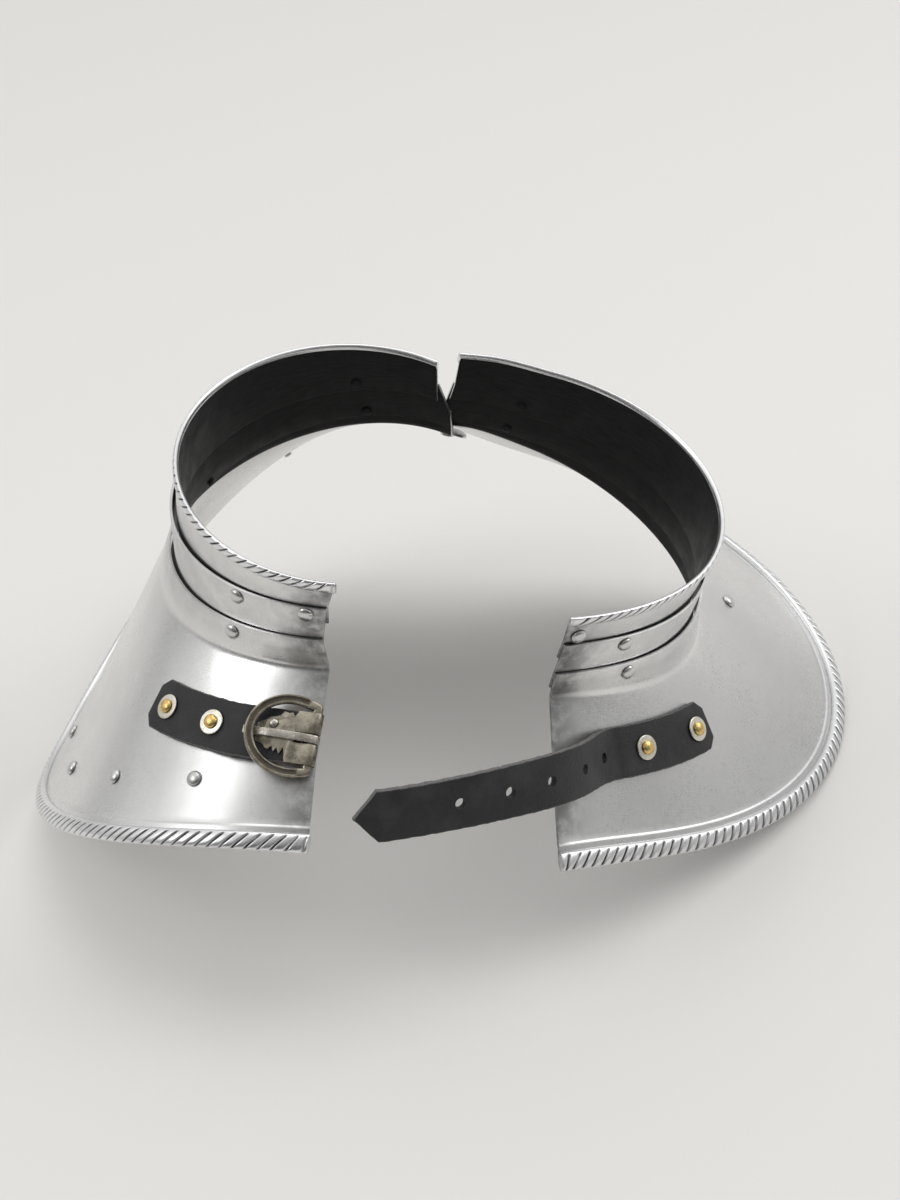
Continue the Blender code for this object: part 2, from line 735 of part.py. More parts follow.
def chape_outer():
    """Outer radius of the chape's fold about the bar."""
    return FRAME_WIRE + PIECE_GAP + CHAPE_SHEET


def make_buckle_strap(sheets, parts, cutters):
    """The short strap on the front half and the frame of the buckle's bar at its end.

    The strap follows the flare, then leaves it on a straight line under the chape.
    """
    course = flare_course(FRONT, BUCKLE_STRAP_COURSE, 40)
    total = distances(course)[-1]
    bar_at = total + FRAME_WIRE * 0.6
    middle = frame_at(course, total - CHAPE_LENGTH * 0.5)
    rise = Matrix.Translation((0.0, 0.0, bar_lift() - STRAP_GAP))
    straight_end = total - CHAPE_LENGTH * 0.5
    frames = []
    steps = 22
    for step in range(steps + 1):
        length = bar_at * step / steps
        level = middle @ rise @ Matrix.Translation((length - straight_end, 0.0, 0.0))
        on_flare = frame_at(course, min(length, total))
        share = smooth_step(total - CHAPE_LENGTH - STRAP_RISE, total - CHAPE_LENGTH, length)
        point = on_flare.to_translation().lerp(level.to_translation(), share)
        turn = on_flare.to_quaternion().slerp(level.to_quaternion(), share)
        frames.append(Matrix.Translation(point) @ turn.to_matrix().to_4x4())
    reach = distances(frames)[-1]
    strap_end = reach - loop_outer() - PIECE_GAP
    lengths = [0.0, STRAP_CLIP] + [STRAP_CLIP + (strap_end - STRAP_CLIP) * k / 16 for k in range(1, 17)]
    widths = [clipped(length, strap_end) for length in lengths]
    strap = finish(sweep("buckle_strap", resample(frames, lengths), widths, STRAP_THICKNESS, parts), LEATHER)
    rivets = strap_rivets(strap, sheets["front", "base_plate"], frames,
                          [share * strap_end for share in BUCKLE_STRAP_RIVETS], 1, parts, cutters)
    bar = frames[-1] @ Matrix.Translation((0.0, 0.0, STRAP_THICKNESS / 2.0))
    return [strap] + rivets, bar


def make_hole_strap(sheets, parts, cutters):
    """The long pointed strap on the back half, with its five holes."""
    frames = flare_course(BACK, HOLE_STRAP_COURSE, 10)
    on_plate = distances(frames)[-1]
    shares, *turns = zip(*FREE_COURSE)
    place = frames[-1].copy()
    for step in range(FREE_STEPS):
        share = step / (FREE_STEPS - 1)
        lift, swing, twist = (math.radians(float(np.interp(share, shares, column))) for column in turns)
        place = place @ Matrix.Rotation(-lift, 4, "Y") @ Matrix.Rotation(swing, 4, "Z")
        place = place @ Matrix.Rotation(twist, 4, "X") @ Matrix.Translation((FREE_LENGTH / FREE_STEPS, 0.0, 0.0))
        frames.append(place.copy())
    total = distances(frames)[-1]
    lengths = [0.0, STRAP_CLIP]
    lengths += [STRAP_CLIP + (total - STRAP_POINT - STRAP_CLIP) * k / 24 for k in range(1, 25)]
    lengths += [total]
    widths = [clipped(length, total) for length in lengths[:-1]] + [STRAP_TIP]
    strap = finish(sweep("hole_strap", resample(frames, lengths), widths, STRAP_THICKNESS, parts), LEATHER)
    for number, share in enumerate(HOLE_SHARES, 1):
        hole = frame_at(frames, on_plate + FREE_LENGTH * share)
        drill([strap], f"strap_hole_{number}", HOLE_RADIUS, hole, PUNCH_DEPTH, cutters)
    plate = sheets["back", "base_plate"]
    rivets = strap_rivets(strap, plate, frames,
                          [share * on_plate for share in HOLE_STRAP_RIVETS], 3, parts, cutters)
    return [strap] + rivets


def tube(name, points, radius, cyclic, matrix, collection, resolution=2):
    """A wire through points as one mesh."""
    curve = bpy.data.curves.new(name, "CURVE")
    curve.dimensions = "3D"
    curve.bevel_depth = radius
    curve.bevel_resolution = resolution
    curve.use_fill_caps = True
    spline = curve.splines.new("POLY")
    spline.points.add(len(points) - 1)
    for point, place in zip(spline.points, points):
        point.co = (*place, 1.0)
    spline.use_cyclic_u = cyclic
    guide = add_object(f"{name}_guide", curve, collection)
    guide.matrix_world = matrix
    return solid_of(guide, name, collection)


def arc(radius, start, end, steps):
    """Points of an arc in degrees."""
    angles = [math.radians(start + (end - start) * step / steps) for step in range(steps + 1)]
    return [(radius * math.cos(angle), radius * math.sin(angle)) for angle in angles]


def make_chape(bar, strap, parts, cutters):
    """The folded sheet that holds the bar on the strap, with its slot, cut tail and rivet."""
    inner, outer = FRAME_WIRE + PIECE_GAP, chape_outer()
    leaf = STRAP_THICKNESS / 2.0 + PIECE_GAP
    lower = CHAPE_LENGTH * CHAPE_LOWER_SHARE
    section = [(-CHAPE_LENGTH, leaf + CHAPE_SHEET), (-CHAPE_TAPER, leaf + CHAPE_SHEET)]
    section += arc(outer, 100.0, -100.0, 8)
    section += [(-CHAPE_TAPER, -leaf - CHAPE_SHEET), (-lower, -leaf - CHAPE_SHEET), (-lower, -leaf),
                (-CHAPE_TAPER, -leaf)]
    section += arc(inner, -100.0, 100.0, 8)
    section += [(-CHAPE_TAPER, leaf), (-CHAPE_LENGTH, leaf)]
    upright = bar @ Matrix.Rotation(math.radians(90.0), 4, "X")
    chape = prism("buckle_chape", [section], CHAPE_WIDTH / 2.0, upright, parts)
    half_slot = PRONG_WIDTH / 2.0 + 2.0 * PIECE_GAP
    for name, start, floor in (("upper", -CHAPE_SLOT, 0.0), ("round", -loop_outer() - PIECE_GAP, -outer * 1.5)):
        box = [(start, -half_slot), (outer * 2.0, -half_slot), (outer * 2.0, half_slot), (start, half_slot)]
        height = outer * 1.5
        place = bar @ Matrix.Translation((0.0, 0.0, floor + height))
        add_cut(chape, hide_cutter(prism(f"{name}_slot_cutter", [box], height, place, cutters)))
    for name, side, shares in (("hem", -1.0, CHAPE_HEM_EDGE), ("rim", 1.0, CHAPE_RIM_EDGE)):
        edge = [(-back * CHAPE_LENGTH, side * across * CHAPE_WIDTH / 2.0) for back, across in shares]
        place = bar @ Matrix.Translation((0.0, 0.0, leaf + CHAPE_SHEET))
        cutter = prism(f"{name}_edge_cutter", [edge], CHAPE_SHEET * 1.6, place, cutters)
        add_cut(chape, hide_cutter(cutter))
    spot = bar @ Matrix.Translation((-CHAPE_LENGTH * CHAPE_RIVET_BACK_SHARE, CHAPE_RIVET_ACROSS, 0.0))
    rivet = add_rivet("chape_rivet", [chape, strap], spot, CHAPE_RIVET, NICKEL, parts, cutters)
    return [finish(chape, NICKEL), rivet]


def make_prong(bar, parts):
    """The prong, looped round the bar and lying back over the chape."""
    loop_inner = FRAME_WIRE + PIECE_GAP
    under = STRAP_THICKNESS / 2.0 + 2.0 * PIECE_GAP + CHAPE_SHEET
    upper = under + PRONG_THICKNESS
    outline = [(-x, y) for x, y in arc(loop_outer(), 90.0, 400.0, 10)]
    outline += [(-PRONG_RISE, under), (-PRONG_LENGTH + PRONG_CHAMFER, under),
                (-PRONG_LENGTH, under + PRONG_CHAMFER / 3.0), (-PRONG_LENGTH, upper - PRONG_CHAMFER / 2.0),
                (-PRONG_LENGTH + PRONG_CHAMFER, upper), (-PRONG_RISE * 0.75, upper)]
    hole = arc(loop_inner, 0.0, 330.0, 11)
    upright = bar @ Matrix.Rotation(math.radians(90.0), 4, "X")
    return finish(prism("buckle_prong", [outline, hole], PRONG_WIDTH / 2.0, upright, parts), NICKEL)


def make_frame(bar, parts):
    """The D frame with its bar, lying back over the prong."""
    prong_top = STRAP_THICKNESS / 2.0 + 2.0 * PIECE_GAP + CHAPE_SHEET + PRONG_THICKNESS
    tilt = math.asin((prong_top + PIECE_GAP + FRAME_WIRE * 1.03) / FRAME_LENGTH)
    place = bar @ Matrix.Rotation(math.radians(180.0), 4, "Z") @ Matrix.Rotation(-tilt, 4, "Y")
    curve = [(FRAME_SHOULDER + (FRAME_LENGTH - FRAME_SHOULDER) * x, FRAME_WIDTH / 2.0 * y, 0.0)
             for x, y in arc(1.0, -90.0, 90.0, 14)]
    widen = (FRAME_SHOULDER * 0.45, FRAME_WIDTH * 0.485)
    points = [(0.0, -BAR_LENGTH / 2.0, 0.0), (widen[0], -widen[1], 0.0)] + curve
    points += [(widen[0], widen[1], 0.0), (0.0, BAR_LENGTH / 2.0, 0.0)]
    return finish(tube("buckle_frame", points, FRAME_WIRE, True, place, parts), NICKEL)


def hull_of(points):
    """The faces of the points' convex hull as triangles of points."""
    shape = bmesh.new()
    for point in points:
        shape.verts.new(point)
    result = bmesh.ops.convex_hull(shape, input=shape.verts)
    faces = [tuple(vert.co.copy() for vert in face.verts) for face in result["geom"]
             if isinstance(face, bmesh.types.BMFace)]
    shape.free()
    return faces


def solid_sums(item, graph):
    """Volume, first moment and the points of a finished piece in the world."""
    mesh = item.evaluated_get(graph).to_mesh()
    mesh.calc_loop_triangles()
    matrix = item.matrix_world
    points = [matrix @ vert.co for vert in mesh.vertices]
    volume, moment = 0.0, Vector()
    for triangle in mesh.loop_triangles:
        a, b, c = (points[index] for index in triangle.vertices)
        part = a.dot(b.cross(c)) / 6.0
        volume += part
        moment += (a + b + c) / 4.0 * part
    item.evaluated_get(graph).to_mesh_clear()
    return volume, moment, points


def resting_pose(items):
    """The placement in which the opened gorget rests by itself on a floor at z = 0."""
    graph = bpy.context.evaluated_depsgraph_get()
    mass, moment, points = 0.0, Vector(), []
    for item in items:
        density = LEATHER_DENSITY if item.name.endswith("strap") else METAL_DENSITY
        volume, first, corners = solid_sums(item, graph)
        mass += density * volume
        moment += first * density
        points.extend(corners)
    centre = moment / mass
    best, stand = None, None
    for a, b, c in hull_of(points):
        down = (b - a).cross(c - a)
        if down.length < 1e-12:
            continue
        down.normalize()
        if down.dot(a - centre) < 0.0:
            down.negate()
        foot = centre + down * (a - centre).dot(down)
        sides = [(end - start).cross(foot - start).dot(down) for start, end in ((a, b), (b, c), (c, a))]
        if not (all(side > 0.0 for side in sides) or all(side < 0.0 for side in sides)):
            continue
        if best is None or down.z < best:
            best, stand = down.z, down
    turn = stand.rotation_difference(Vector((0.0, 0.0, -1.0))).to_matrix().to_4x4()
    turn = Matrix.Rotation(math.radians(VIEW_TURN), 4, "Z") @ turn
    placed = [turn @ point for point in points]
    low = [min(point[axis] for point in placed) for axis in range(3)]
    high = [max(point[axis] for point in placed) for axis in range(3)]
    shift = Vector((-(low[0] + high[0]) / 2.0, -(low[1] + high[1]) / 2.0, -low[2]))
    return Matrix.Translation(shift) @ turn


def place_all(items, matrix):
    """Moves objects together."""
    for item in items:
        item.matrix_world = matrix @ item.matrix_world


def hold(name, place, items, collection):
    """An empty on a joint's axis that carries the moving pieces."""
    empty = add_object(name, None, collection)
    empty.empty_display_size = 0.01
    empty.matrix_world = place
    for item in items:
        world = item.matrix_world.copy()
        item.parent = empty
        item.matrix_parent_inverse = place.inverted()
        item.matrix_world = world


def main():
    """Builds the gorget."""
    for item in list(bpy.data.objects):
        bpy.data.objects.remove(item)
    parts = new_collection("steel_gorget")
    cutters = new_collection("cutters")
    sheets = {(half, kind): make_sheet(half, kind, parts) for half in HALVES for kind in SHEETS}
    lap = lap_rivets(sheets, parts, cutters)
    single = sheet_rivets(sheets, parts, cutters)
    strap_set, bar = make_buckle_strap(sheets, parts, cutters)
    chape_set = make_chape(bar, strap_set[0], parts, cutters)
    prong = make_prong(bar, parts)
    ring = make_frame(bar, parts)
    make_hole_strap(sheets, parts, cutters)
    pivot = pivot_frame()
    cut_far_ends(sheets, pivot, cutters)

    fronts = [sheets["front", kind] for kind in SHEETS] + lap["front"] + single["front"]
    fronts += strap_set + chape_set + [prong, ring]
    backs = [item for item in parts.objects if item not in fronts]
    back_cutters = [item for item in cutters.objects
                    if item.name.startswith(("back_", "strap_hole", "strap_rivet_3", "strap_rivet_4"))]
    place_all(backs + back_cutters, open_pose())
    bpy.context.view_layer.update()
    plates = [sheets["front", "base_plate"], sheets["back", "base_plate"]]
    add_rivet("pivot_rivet", plates, pivot, PIVOT_RIVET, STEEL, parts, cutters, gap=PIVOT_GAP)
    bpy.context.view_layer.update()
    rest = resting_pose(list(parts.objects))
    place_all(list(parts.objects) + list(cutters.objects), rest)
    bpy.context.view_layer.update()
    hold("shoulder_pivot", rest @ pivot, backs + back_cutters, parts)
    hold("buckle_bar", rest @ bar, [ring, prong], parts)


if __name__ == "__main__":
    main()
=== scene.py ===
"""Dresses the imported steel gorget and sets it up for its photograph.

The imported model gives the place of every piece. The sheets, straps, rivets and buckle are built again
here with fine sections, rolled and roped edges and worn finishes, and each rides on its CAD body.
"""
from __future__ import annotations

import json
import logging
import math
from dataclasses import dataclass, field
from enum import Enum
from functools import reduce
from itertools import accumulate
from typing import Callable, Iterable, Sequence

import bpy
import numpy as np
from mathutils import Matrix, Vector

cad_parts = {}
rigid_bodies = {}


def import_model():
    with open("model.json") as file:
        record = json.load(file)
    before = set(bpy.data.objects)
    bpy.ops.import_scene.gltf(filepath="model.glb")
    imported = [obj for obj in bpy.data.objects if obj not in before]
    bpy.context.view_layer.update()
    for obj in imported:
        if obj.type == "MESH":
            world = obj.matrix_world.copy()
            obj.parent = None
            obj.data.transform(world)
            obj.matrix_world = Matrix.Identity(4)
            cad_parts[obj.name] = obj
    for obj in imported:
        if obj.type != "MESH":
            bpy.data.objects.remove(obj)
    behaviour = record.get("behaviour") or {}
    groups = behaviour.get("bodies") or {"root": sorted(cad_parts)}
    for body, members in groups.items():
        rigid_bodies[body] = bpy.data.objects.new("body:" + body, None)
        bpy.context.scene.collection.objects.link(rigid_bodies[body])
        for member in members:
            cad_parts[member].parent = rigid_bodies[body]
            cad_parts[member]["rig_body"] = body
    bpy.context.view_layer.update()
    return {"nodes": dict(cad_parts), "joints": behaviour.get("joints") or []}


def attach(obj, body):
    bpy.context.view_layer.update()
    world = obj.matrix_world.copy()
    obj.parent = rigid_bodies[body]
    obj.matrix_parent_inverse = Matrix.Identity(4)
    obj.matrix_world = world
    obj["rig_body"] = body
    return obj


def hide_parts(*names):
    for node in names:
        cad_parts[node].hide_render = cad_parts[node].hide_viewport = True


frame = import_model()

LOG = logging.getLogger("gorget")

Curve = Callable[[float], float]
Section = list[np.ndarray]
Colour = tuple[float, float, float]
Course = tuple[tuple[float, float], tuple[float, float]]
Socket = bpy.types.NodeSocket


class HalfName(Enum):
    """The two halves of the collar, with the sign of their X direction."""

    FRONT = -1.0
    BACK = 1.0


class Band(Enum):
    """The three sheets of a half and the lines that bound them."""

    TOP = ("top_lame", ("rim", "first_lap"))
    MIDDLE = ("middle_lame", ("first_lap", "second_lap"))
    BASE = ("base_plate", ("second_lap", "crease", "hem"))


class Finish(Enum):
    """The surface finishes, named for their materials."""

    STEEL = "satin_steel"
    ROPE = "roped_steel"
    RIVET = "rivet_steel"
    PAINT = "black_paint"
    LEATHER = "black_leather"
    BRASS = "gilt_brass"
    WASHER = "pale_washer"
    NICKEL = "antique_nickel"
    WORN = "worn_nickel"


@dataclass(frozen=True)
class CollarSizes:
    """The driving sizes of the sheets in metres and degrees."""

    sheet: float = 0.0012
    lap_gap: float = 0.0004
    neck_radius: float = 0.0755
    neck_height: float = 0.0424
    hem_reach: float = 0.1458
    hem_drop: float = 0.0833
    lap_depth: float = 0.0085
    lap_spread: float = 0.0012
    crease_radius: float = 0.0025
    bend_points: int = 7
    flare_sag: float = 0.0008
    flare_points: int = 12
    flare_start: float = 0.06
    flare_stop: float = 0.0140
    hem_roll: tuple[float, float] = (0.0031, 0.0021)
    hem_step: tuple[tuple[float, float], ...] = (
        (0.0114, 0.0), (0.0109, 0.0001), (0.0105, 0.0004), (0.0100, 0.0004), (0.0070, 0.0003), (0.0, 0.0))
    rim_roll: tuple[float, float] = (0.0019, 0.0016)
    step_out: float = 0.0024
    step_lift: float = 0.0024
    step_span: tuple[float, float] = (60.0, 82.0)
    pivot_setback: float = 0.0130
    pivot_lobe: float = 0.0085
    end_reach: tuple[float, float] = (0.0050, 0.0120)
    end_wedge: float = 20.5
    end_cut: tuple[float, float, float, float] = (0.0400, 0.0950, 0.0500, 0.0350)
    lobe_angle: float = 64.0
    lobe_steps: int = 32
    open_angle: float = 36.9
    open_axis: tuple[float, float, float] = (0.0537, 0.4428, 0.8950)
    open_about: tuple[float, float, float] = (0.0, 0.0790, -0.0385)


SIZES = CollarSizes()
# Steps in degrees and in shares by which slopes on a flare are taken
NEAR_ANGLE = 0.5
NEAR_SHARE = 0.01

# Lines of the sheets: name, near end, far end, reach and height shares at 0, 45 and 90 degrees
LINES = {
    HalfName.FRONT: (
        ("rim", 92.3, 90.4, (1.137, 1.112, 0.992), (0.205, 0.140, 0.000)),
        ("first_lap", 89.6, 90.2, (1.202, 1.155, 1.020), (-0.389, -0.330, -0.306)),
        ("second_lap", 88.3, 94.5, (1.238, 1.187, 1.046), (-0.929, -0.792, -0.656)),
        ("crease", 90.2, 98.0, (1.303, 1.233, 1.062), (-1.292, -1.149, -1.005)),
    ),
    HalfName.BACK: (
        ("rim", 91.7, 91.0, (1.209, 1.107, 1.037), (0.052, 0.056, 0.056)),
        ("first_lap", 90.1, 90.0, (1.229, 1.119, 1.042), (-0.467, -0.400, -0.333)),
        ("second_lap", 89.8, 90.5, (1.264, 1.150, 1.066), (-0.877, -0.785, -0.689)),
        ("crease", 89.2, 91.5, (1.327, 1.195, 1.082), (-1.384, -1.182, -0.972)),
    ),
}
# Hems: near end, far end, reach and drop shares every 22.5 degrees
HEMS = {
    HalfName.FRONT: (93.8, 92.0, (1.077, 1.100, 1.127, 1.095, 1.000), (2.204, 2.017, 1.568, 1.133, 1.000)),
    HalfName.BACK: (90.4, 90.0, (1.311, 1.233, 1.071, 0.953, 0.962), (1.276, 1.257, 1.198, 1.104, 0.989)),
}


def even_curve(values: Sequence[float]) -> Curve:
    """Fits a smooth even curve through values spaced evenly from 0 to 90 degrees.

    Args:
        values: The curve's values.

    Returns:
        A function of an angle in radians.
    """
    angles = np.linspace(0.0, math.pi / 2.0, len(values))
    weights = np.linalg.solve(np.cos(np.outer(angles, np.arange(len(values)))), np.array(values))
    return lambda angle: float(sum(w * math.cos(k * angle) for k, w in enumerate(weights)))


def smooth_step(start: float, end: float, value: float) -> float:
    """A smooth ramp from 0 at start to 1 at end."""
    share = min(max((value - start) / (end - start), 0.0), 1.0)
    return share * share * (3.0 - 2.0 * share)


def frame_of(origin: Vector, along: Vector, normal: Vector) -> Matrix:
    """Builds a frame.

    Args:
        origin: Its place.
        along: The direction near which its X lies.
        normal: Its Z direction.

    Returns:
        The frame as a matrix.
    """
    z_axis = normal.normalized()
    y_axis = z_axis.cross(along).normalized()
    matrix = Matrix.Identity(4)
    for index, axis in enumerate((y_axis.cross(z_axis), y_axis, z_axis)):
        matrix.col[index][:3] = axis
    matrix.col[3][:3] = origin
    return matrix


class HalfShape:
    """The lines and sections of one half in the closed collar's frame."""

    def __init__(self, name: HalfName, sizes: CollarSizes) -> None:
        """Reads the half's tables.

        Args:
            name: Which half.
            sizes: The driving sizes.
        """
        self.name = name
        self.side = name.value
        self.sizes = sizes
        self.curves: dict[str, tuple[Curve, Curve]] = {}
        self.ends: dict[str, tuple[float, float]] = {}
        for line, near, far, reach, height in LINES[name]:
            self.curves[line] = (even_curve([r * sizes.neck_radius for r in reach]),
                                 even_curve([h * sizes.neck_height for h in height]))
            self.ends[line] = (near, far)
        near, far, reach, drop = HEMS[name]
        self.curves["hem"] = (even_curve([r * sizes.hem_reach for r in reach]),
                              even_curve([-d * sizes.hem_drop for d in drop]))
        self.ends["hem"] = (near, far)

    def line(self, name: str, degrees: float) -> np.ndarray:
        """Follows one of the half's lines.

        Args:
            name: The line's name.
            degrees: The angle, 0 at the side and 90 at the near end.

        Returns:
            Reach and height.
        """
        reach, height = (curve(math.radians(degrees)) for curve in self.curves[name])
        step = smooth_step(*self.sizes.step_span, -degrees) if self.side > 0 else 0.0
        if name == "hem":
            return np.array([reach, height + self.sizes.step_lift * step])
        return np.array([reach + self.sizes.step_out * step, height])

    def place(self, degrees: float, point: np.ndarray) -> Vector:
        """The point in space at an angle, a reach and a height."""
        angle = math.radians(degrees)
        return Vector((self.side * point[0] * math.cos(angle), -point[0] * math.sin(angle), point[1]))

    def flare_point(self, degrees: float, share: float) -> np.ndarray:
        """Follows the flare's section.

        Args:
            degrees: The angle.
            share: 0 at the crease and 1 at the hem.

        Returns:
            Reach and height.
        """
        crease, hem = self.line("crease", degrees), self.line("hem", degrees)
        run = (hem - crease) / np.linalg.norm(hem - crease)
        inward = np.array([run[1], -run[0]])
        return crease + (hem - crease) * share + inward * self.sizes.flare_sag * 4.0 * share * (1.0 - share)

    def flare_place(self, degrees: float, share: float) -> tuple[Vector, Vector]:
        """Finds a point on the flare's middle face.

        Args:
            degrees: The angle.
            share: 0 at the crease and 1 at the hem.

        Returns:
            The point and the outward normal there.
        """
        point = self.place(degrees, self.flare_point(degrees, share))
        beside = degrees + NEAR_ANGLE
        along = self.place(beside, self.flare_point(beside, share)) - point
        down = self.place(degrees, self.flare_point(degrees, share + NEAR_SHARE)) - point
        normal = along.cross(down).normalized()
        return point, normal if normal.z >= 0.0 else -normal

    def lap_inset(self, degrees: float) -> float:
        """How far an upper sheet lies inside the lower one."""
        spread = self.sizes.lap_spread * max(math.cos(math.radians(degrees)), 0.0) ** 2
        return self.sizes.sheet + self.sizes.lap_gap + spread

    def under(self, edge: np.ndarray, lower: np.ndarray, degrees: float) -> Section:
        """Passes an upper sheet behind a lower one's edge.

        Args:
            edge: The lower sheet's upper edge.
            lower: The next line below it.
            degrees: The angle.

        Returns:
            The point behind that edge, and the upper sheet's own hidden edge.
        """
        inset = np.array([self.lap_inset(degrees), 0.0])
        share = -self.sizes.lap_depth / (lower[1] - edge[1])
        return [edge - inset, edge + (lower - edge) * share - inset]

    def middle_section(self, degrees: float) -> Section:
        """Section of the middle lame."""
        return [self.line("first_lap", degrees)] + self.under(
            self.line("second_lap", degrees), self.line("crease", degrees), degrees)

    def top_section(self, degrees: float) -> Section:
        """Section of the top lame from the rim's edge down."""
        return [self.line("rim", degrees)] + self.under(
            self.line("first_lap", degrees), self.middle_section(degrees)[1], degrees)

    def base_section(self, degrees: float) -> Section:
        """Follows the base plate from its flange's edge to its hem's edge.

        Args:
            degrees: The angle.

        Returns:
            The section's points.
        """
        sizes = self.sizes
        second, crease, hem = (self.line(name, degrees) for name in ("second_lap", "crease", "hem"))
        up = (second - crease) / np.linalg.norm(second - crease)
        run = (hem - crease) / np.linalg.norm(hem - crease)
        start, end = crease + up * sizes.crease_radius, crease + run * sizes.crease_radius
        bend = [(1 - t) ** 2 * start + 2 * t * (1 - t) * crease + t * t * end
                for t in np.linspace(0, 1, sizes.bend_points)]
        length = float(np.linalg.norm(hem - crease))
        shares = np.linspace(sizes.flare_start, 1.0 - sizes.flare_stop / length, sizes.flare_points)
        flare = [self.flare_point(degrees, share) for share in shares]
        outward = np.array([-run[1], run[0]])
        for back, rise in sizes.hem_step:
            flare.append(self.flare_point(degrees, 1.0 - back / length) + outward * rise)
        return [second, (second + start) / 2.0] + bend + flare

    def section(self, band: Band, degrees: float) -> Section:
        """The section of one of the half's sheets."""
        return {Band.TOP: self.top_section, Band.MIDDLE: self.middle_section,
                Band.BASE: self.base_section}[band](degrees)

    def ends_at(self, band: Band, height: float) -> tuple[float, float]:
        """Finds where a sheet ends.

        Args:
            band: The sheet.
            height: A height of its end section.

        Returns:
            The near and far end angles in degrees.
        """
        names = band.value[1]
        heights = [self.line(name, 90.0)[1] for name in names]
        order = np.argsort(heights)
        known = [heights[i] for i in order]
        return tuple(float(np.interp(height, known, [self.ends[names[i]][end] for i in order]))
                     for end in (0, 1))


@dataclass(frozen=True)
class StrapSizes:
    """Sizes and courses of the straps and the buckle in metres and degrees."""

    width: float = 0.0218
    thickness: float = 0.0028
    gap: float = 0.0005
    clip: float = 0.0042
    point: float = 0.0095
    play: float = 0.0003
    wire: float = 0.0019
    chape_sheet: float = 0.0008
    chape_length: float = 0.0227
    prong_loop: float = 0.0009
    prong_thickness: float = 0.0016
    frame_width: float = 0.0300
    frame_length: float = 0.0258
    frame_shoulder: float = 0.0090
    bar_length: float = 0.0266
    hole_radius: float = 0.0022
    punch_depth: float = 0.0120
    rise: float = 0.0200
    rounding: float = 0.0008
    end_step: float = 0.0004
    tip_half: float = 0.0006
    tip_step: float = 0.0005
    fray: float = 0.00007
    wave: tuple[float, float] = (0.00008, 900.0)
    ring_half: tuple[float, float] = (0.00195, 0.00165)
    ring_power: float = 0.62
    ring_dip: float = 0.00042
    ring_dip_edges: tuple[float, float] = (0.0014, 0.0008)
    ring_dip_from: float = 0.0040
    free_length: float = 0.1370
    free_steps: int = 12
    buckle_course: Course = ((51.3, 0.322), (90.0, 0.400))
    hole_course: Course = ((43.0, 0.330), (74.0, 0.365))
    hole_shares: tuple[float, ...] = (0.069, 0.234, 0.387, 0.530, 0.688)
    free_course: tuple[tuple[float, float, float, float], ...] = (
        (0.00, 22.5, 3.0, -4.7), (0.09, 9.5, 2.0, -2.3), (0.18, -4.5, 1.0, -0.8), (0.27, -11.8, 0.8, -0.4),
        (0.36, -11.2, 0.9, -1.5), (0.55, -4.5, 0.8, -2.7), (0.75, -3.0, 0.4, -1.4), (1.00, -3.0, -0.4, 1.2))

    @property
    def chape_outer(self) -> float:
        """Outer radius of the chape's fold."""
        return self.wire + self.play + self.chape_sheet

    @property
    def loop_outer(self) -> float:
        """Outer radius of the prong's loop."""
        return self.wire + self.play + self.prong_loop


STRAPS = StrapSizes()


def distances(frames: Sequence[Matrix]) -> list[float]:
    """Running length through frames."""
    pairs = zip(frames, frames[1:])
    return [0.0, *accumulate((b.to_translation() - a.to_translation()).length for a, b in pairs)]


def blend(first: Matrix, second: Matrix, share: float) -> Matrix:
    """A frame between two frames.

    Args:
        first: The frame at share 0.
        second: The frame at share 1.
        share: The share of the second.

    Returns:
        The frame.
    """
    point = first.to_translation().lerp(second.to_translation(), share)
    turn = first.to_quaternion().slerp(second.to_quaternion(), share)
    return Matrix.Translation(point) @ turn.to_matrix().to_4x4()


def frame_at(frames: Sequence[Matrix], length: float) -> Matrix:
    """Finds the frame at a running length.

    Args:
        frames: The frames.
        length: The length from the first one.

    Returns:
        A blend of its neighbours.
    """
    total = distances(frames)
    index = min(max(int(np.searchsorted(total, length)) - 1, 0), len(frames) - 2)
    share = (length - total[index]) / (total[index + 1] - total[index])
    return blend(frames[index], frames[index + 1], share)


def flare_course(half: HalfShape, course: Course, steps: int) -> list[Matrix]:
    """Frames of a strap's underside on a flare.

    Args:
        half: The half whose flare carries the strap.
        course: Angle and share of the strap's tail, then of its last point on the flare.
        steps: Number of steps.

    Returns:
        The frames from the tail on.
    """
    (tail_angle, tail_share), (edge_angle, edge_share) = course

    def at(share: float) -> tuple[Vector, Vector]:
        """The flare's point and normal at a share of the course."""
        return half.flare_place(tail_angle + (edge_angle - tail_angle) * share,
                                tail_share + (edge_share - tail_share) * share)

    frames = []
    for step in range(steps + 1):
        share = step / steps
        point, normal = at(share)
        along = at(share + NEAR_SHARE)[0] - at(share - NEAR_SHARE)[0]
        frames.append(frame_of(point + normal * (SIZES.sheet / 2.0 + STRAPS.gap), along, normal))
    return frames


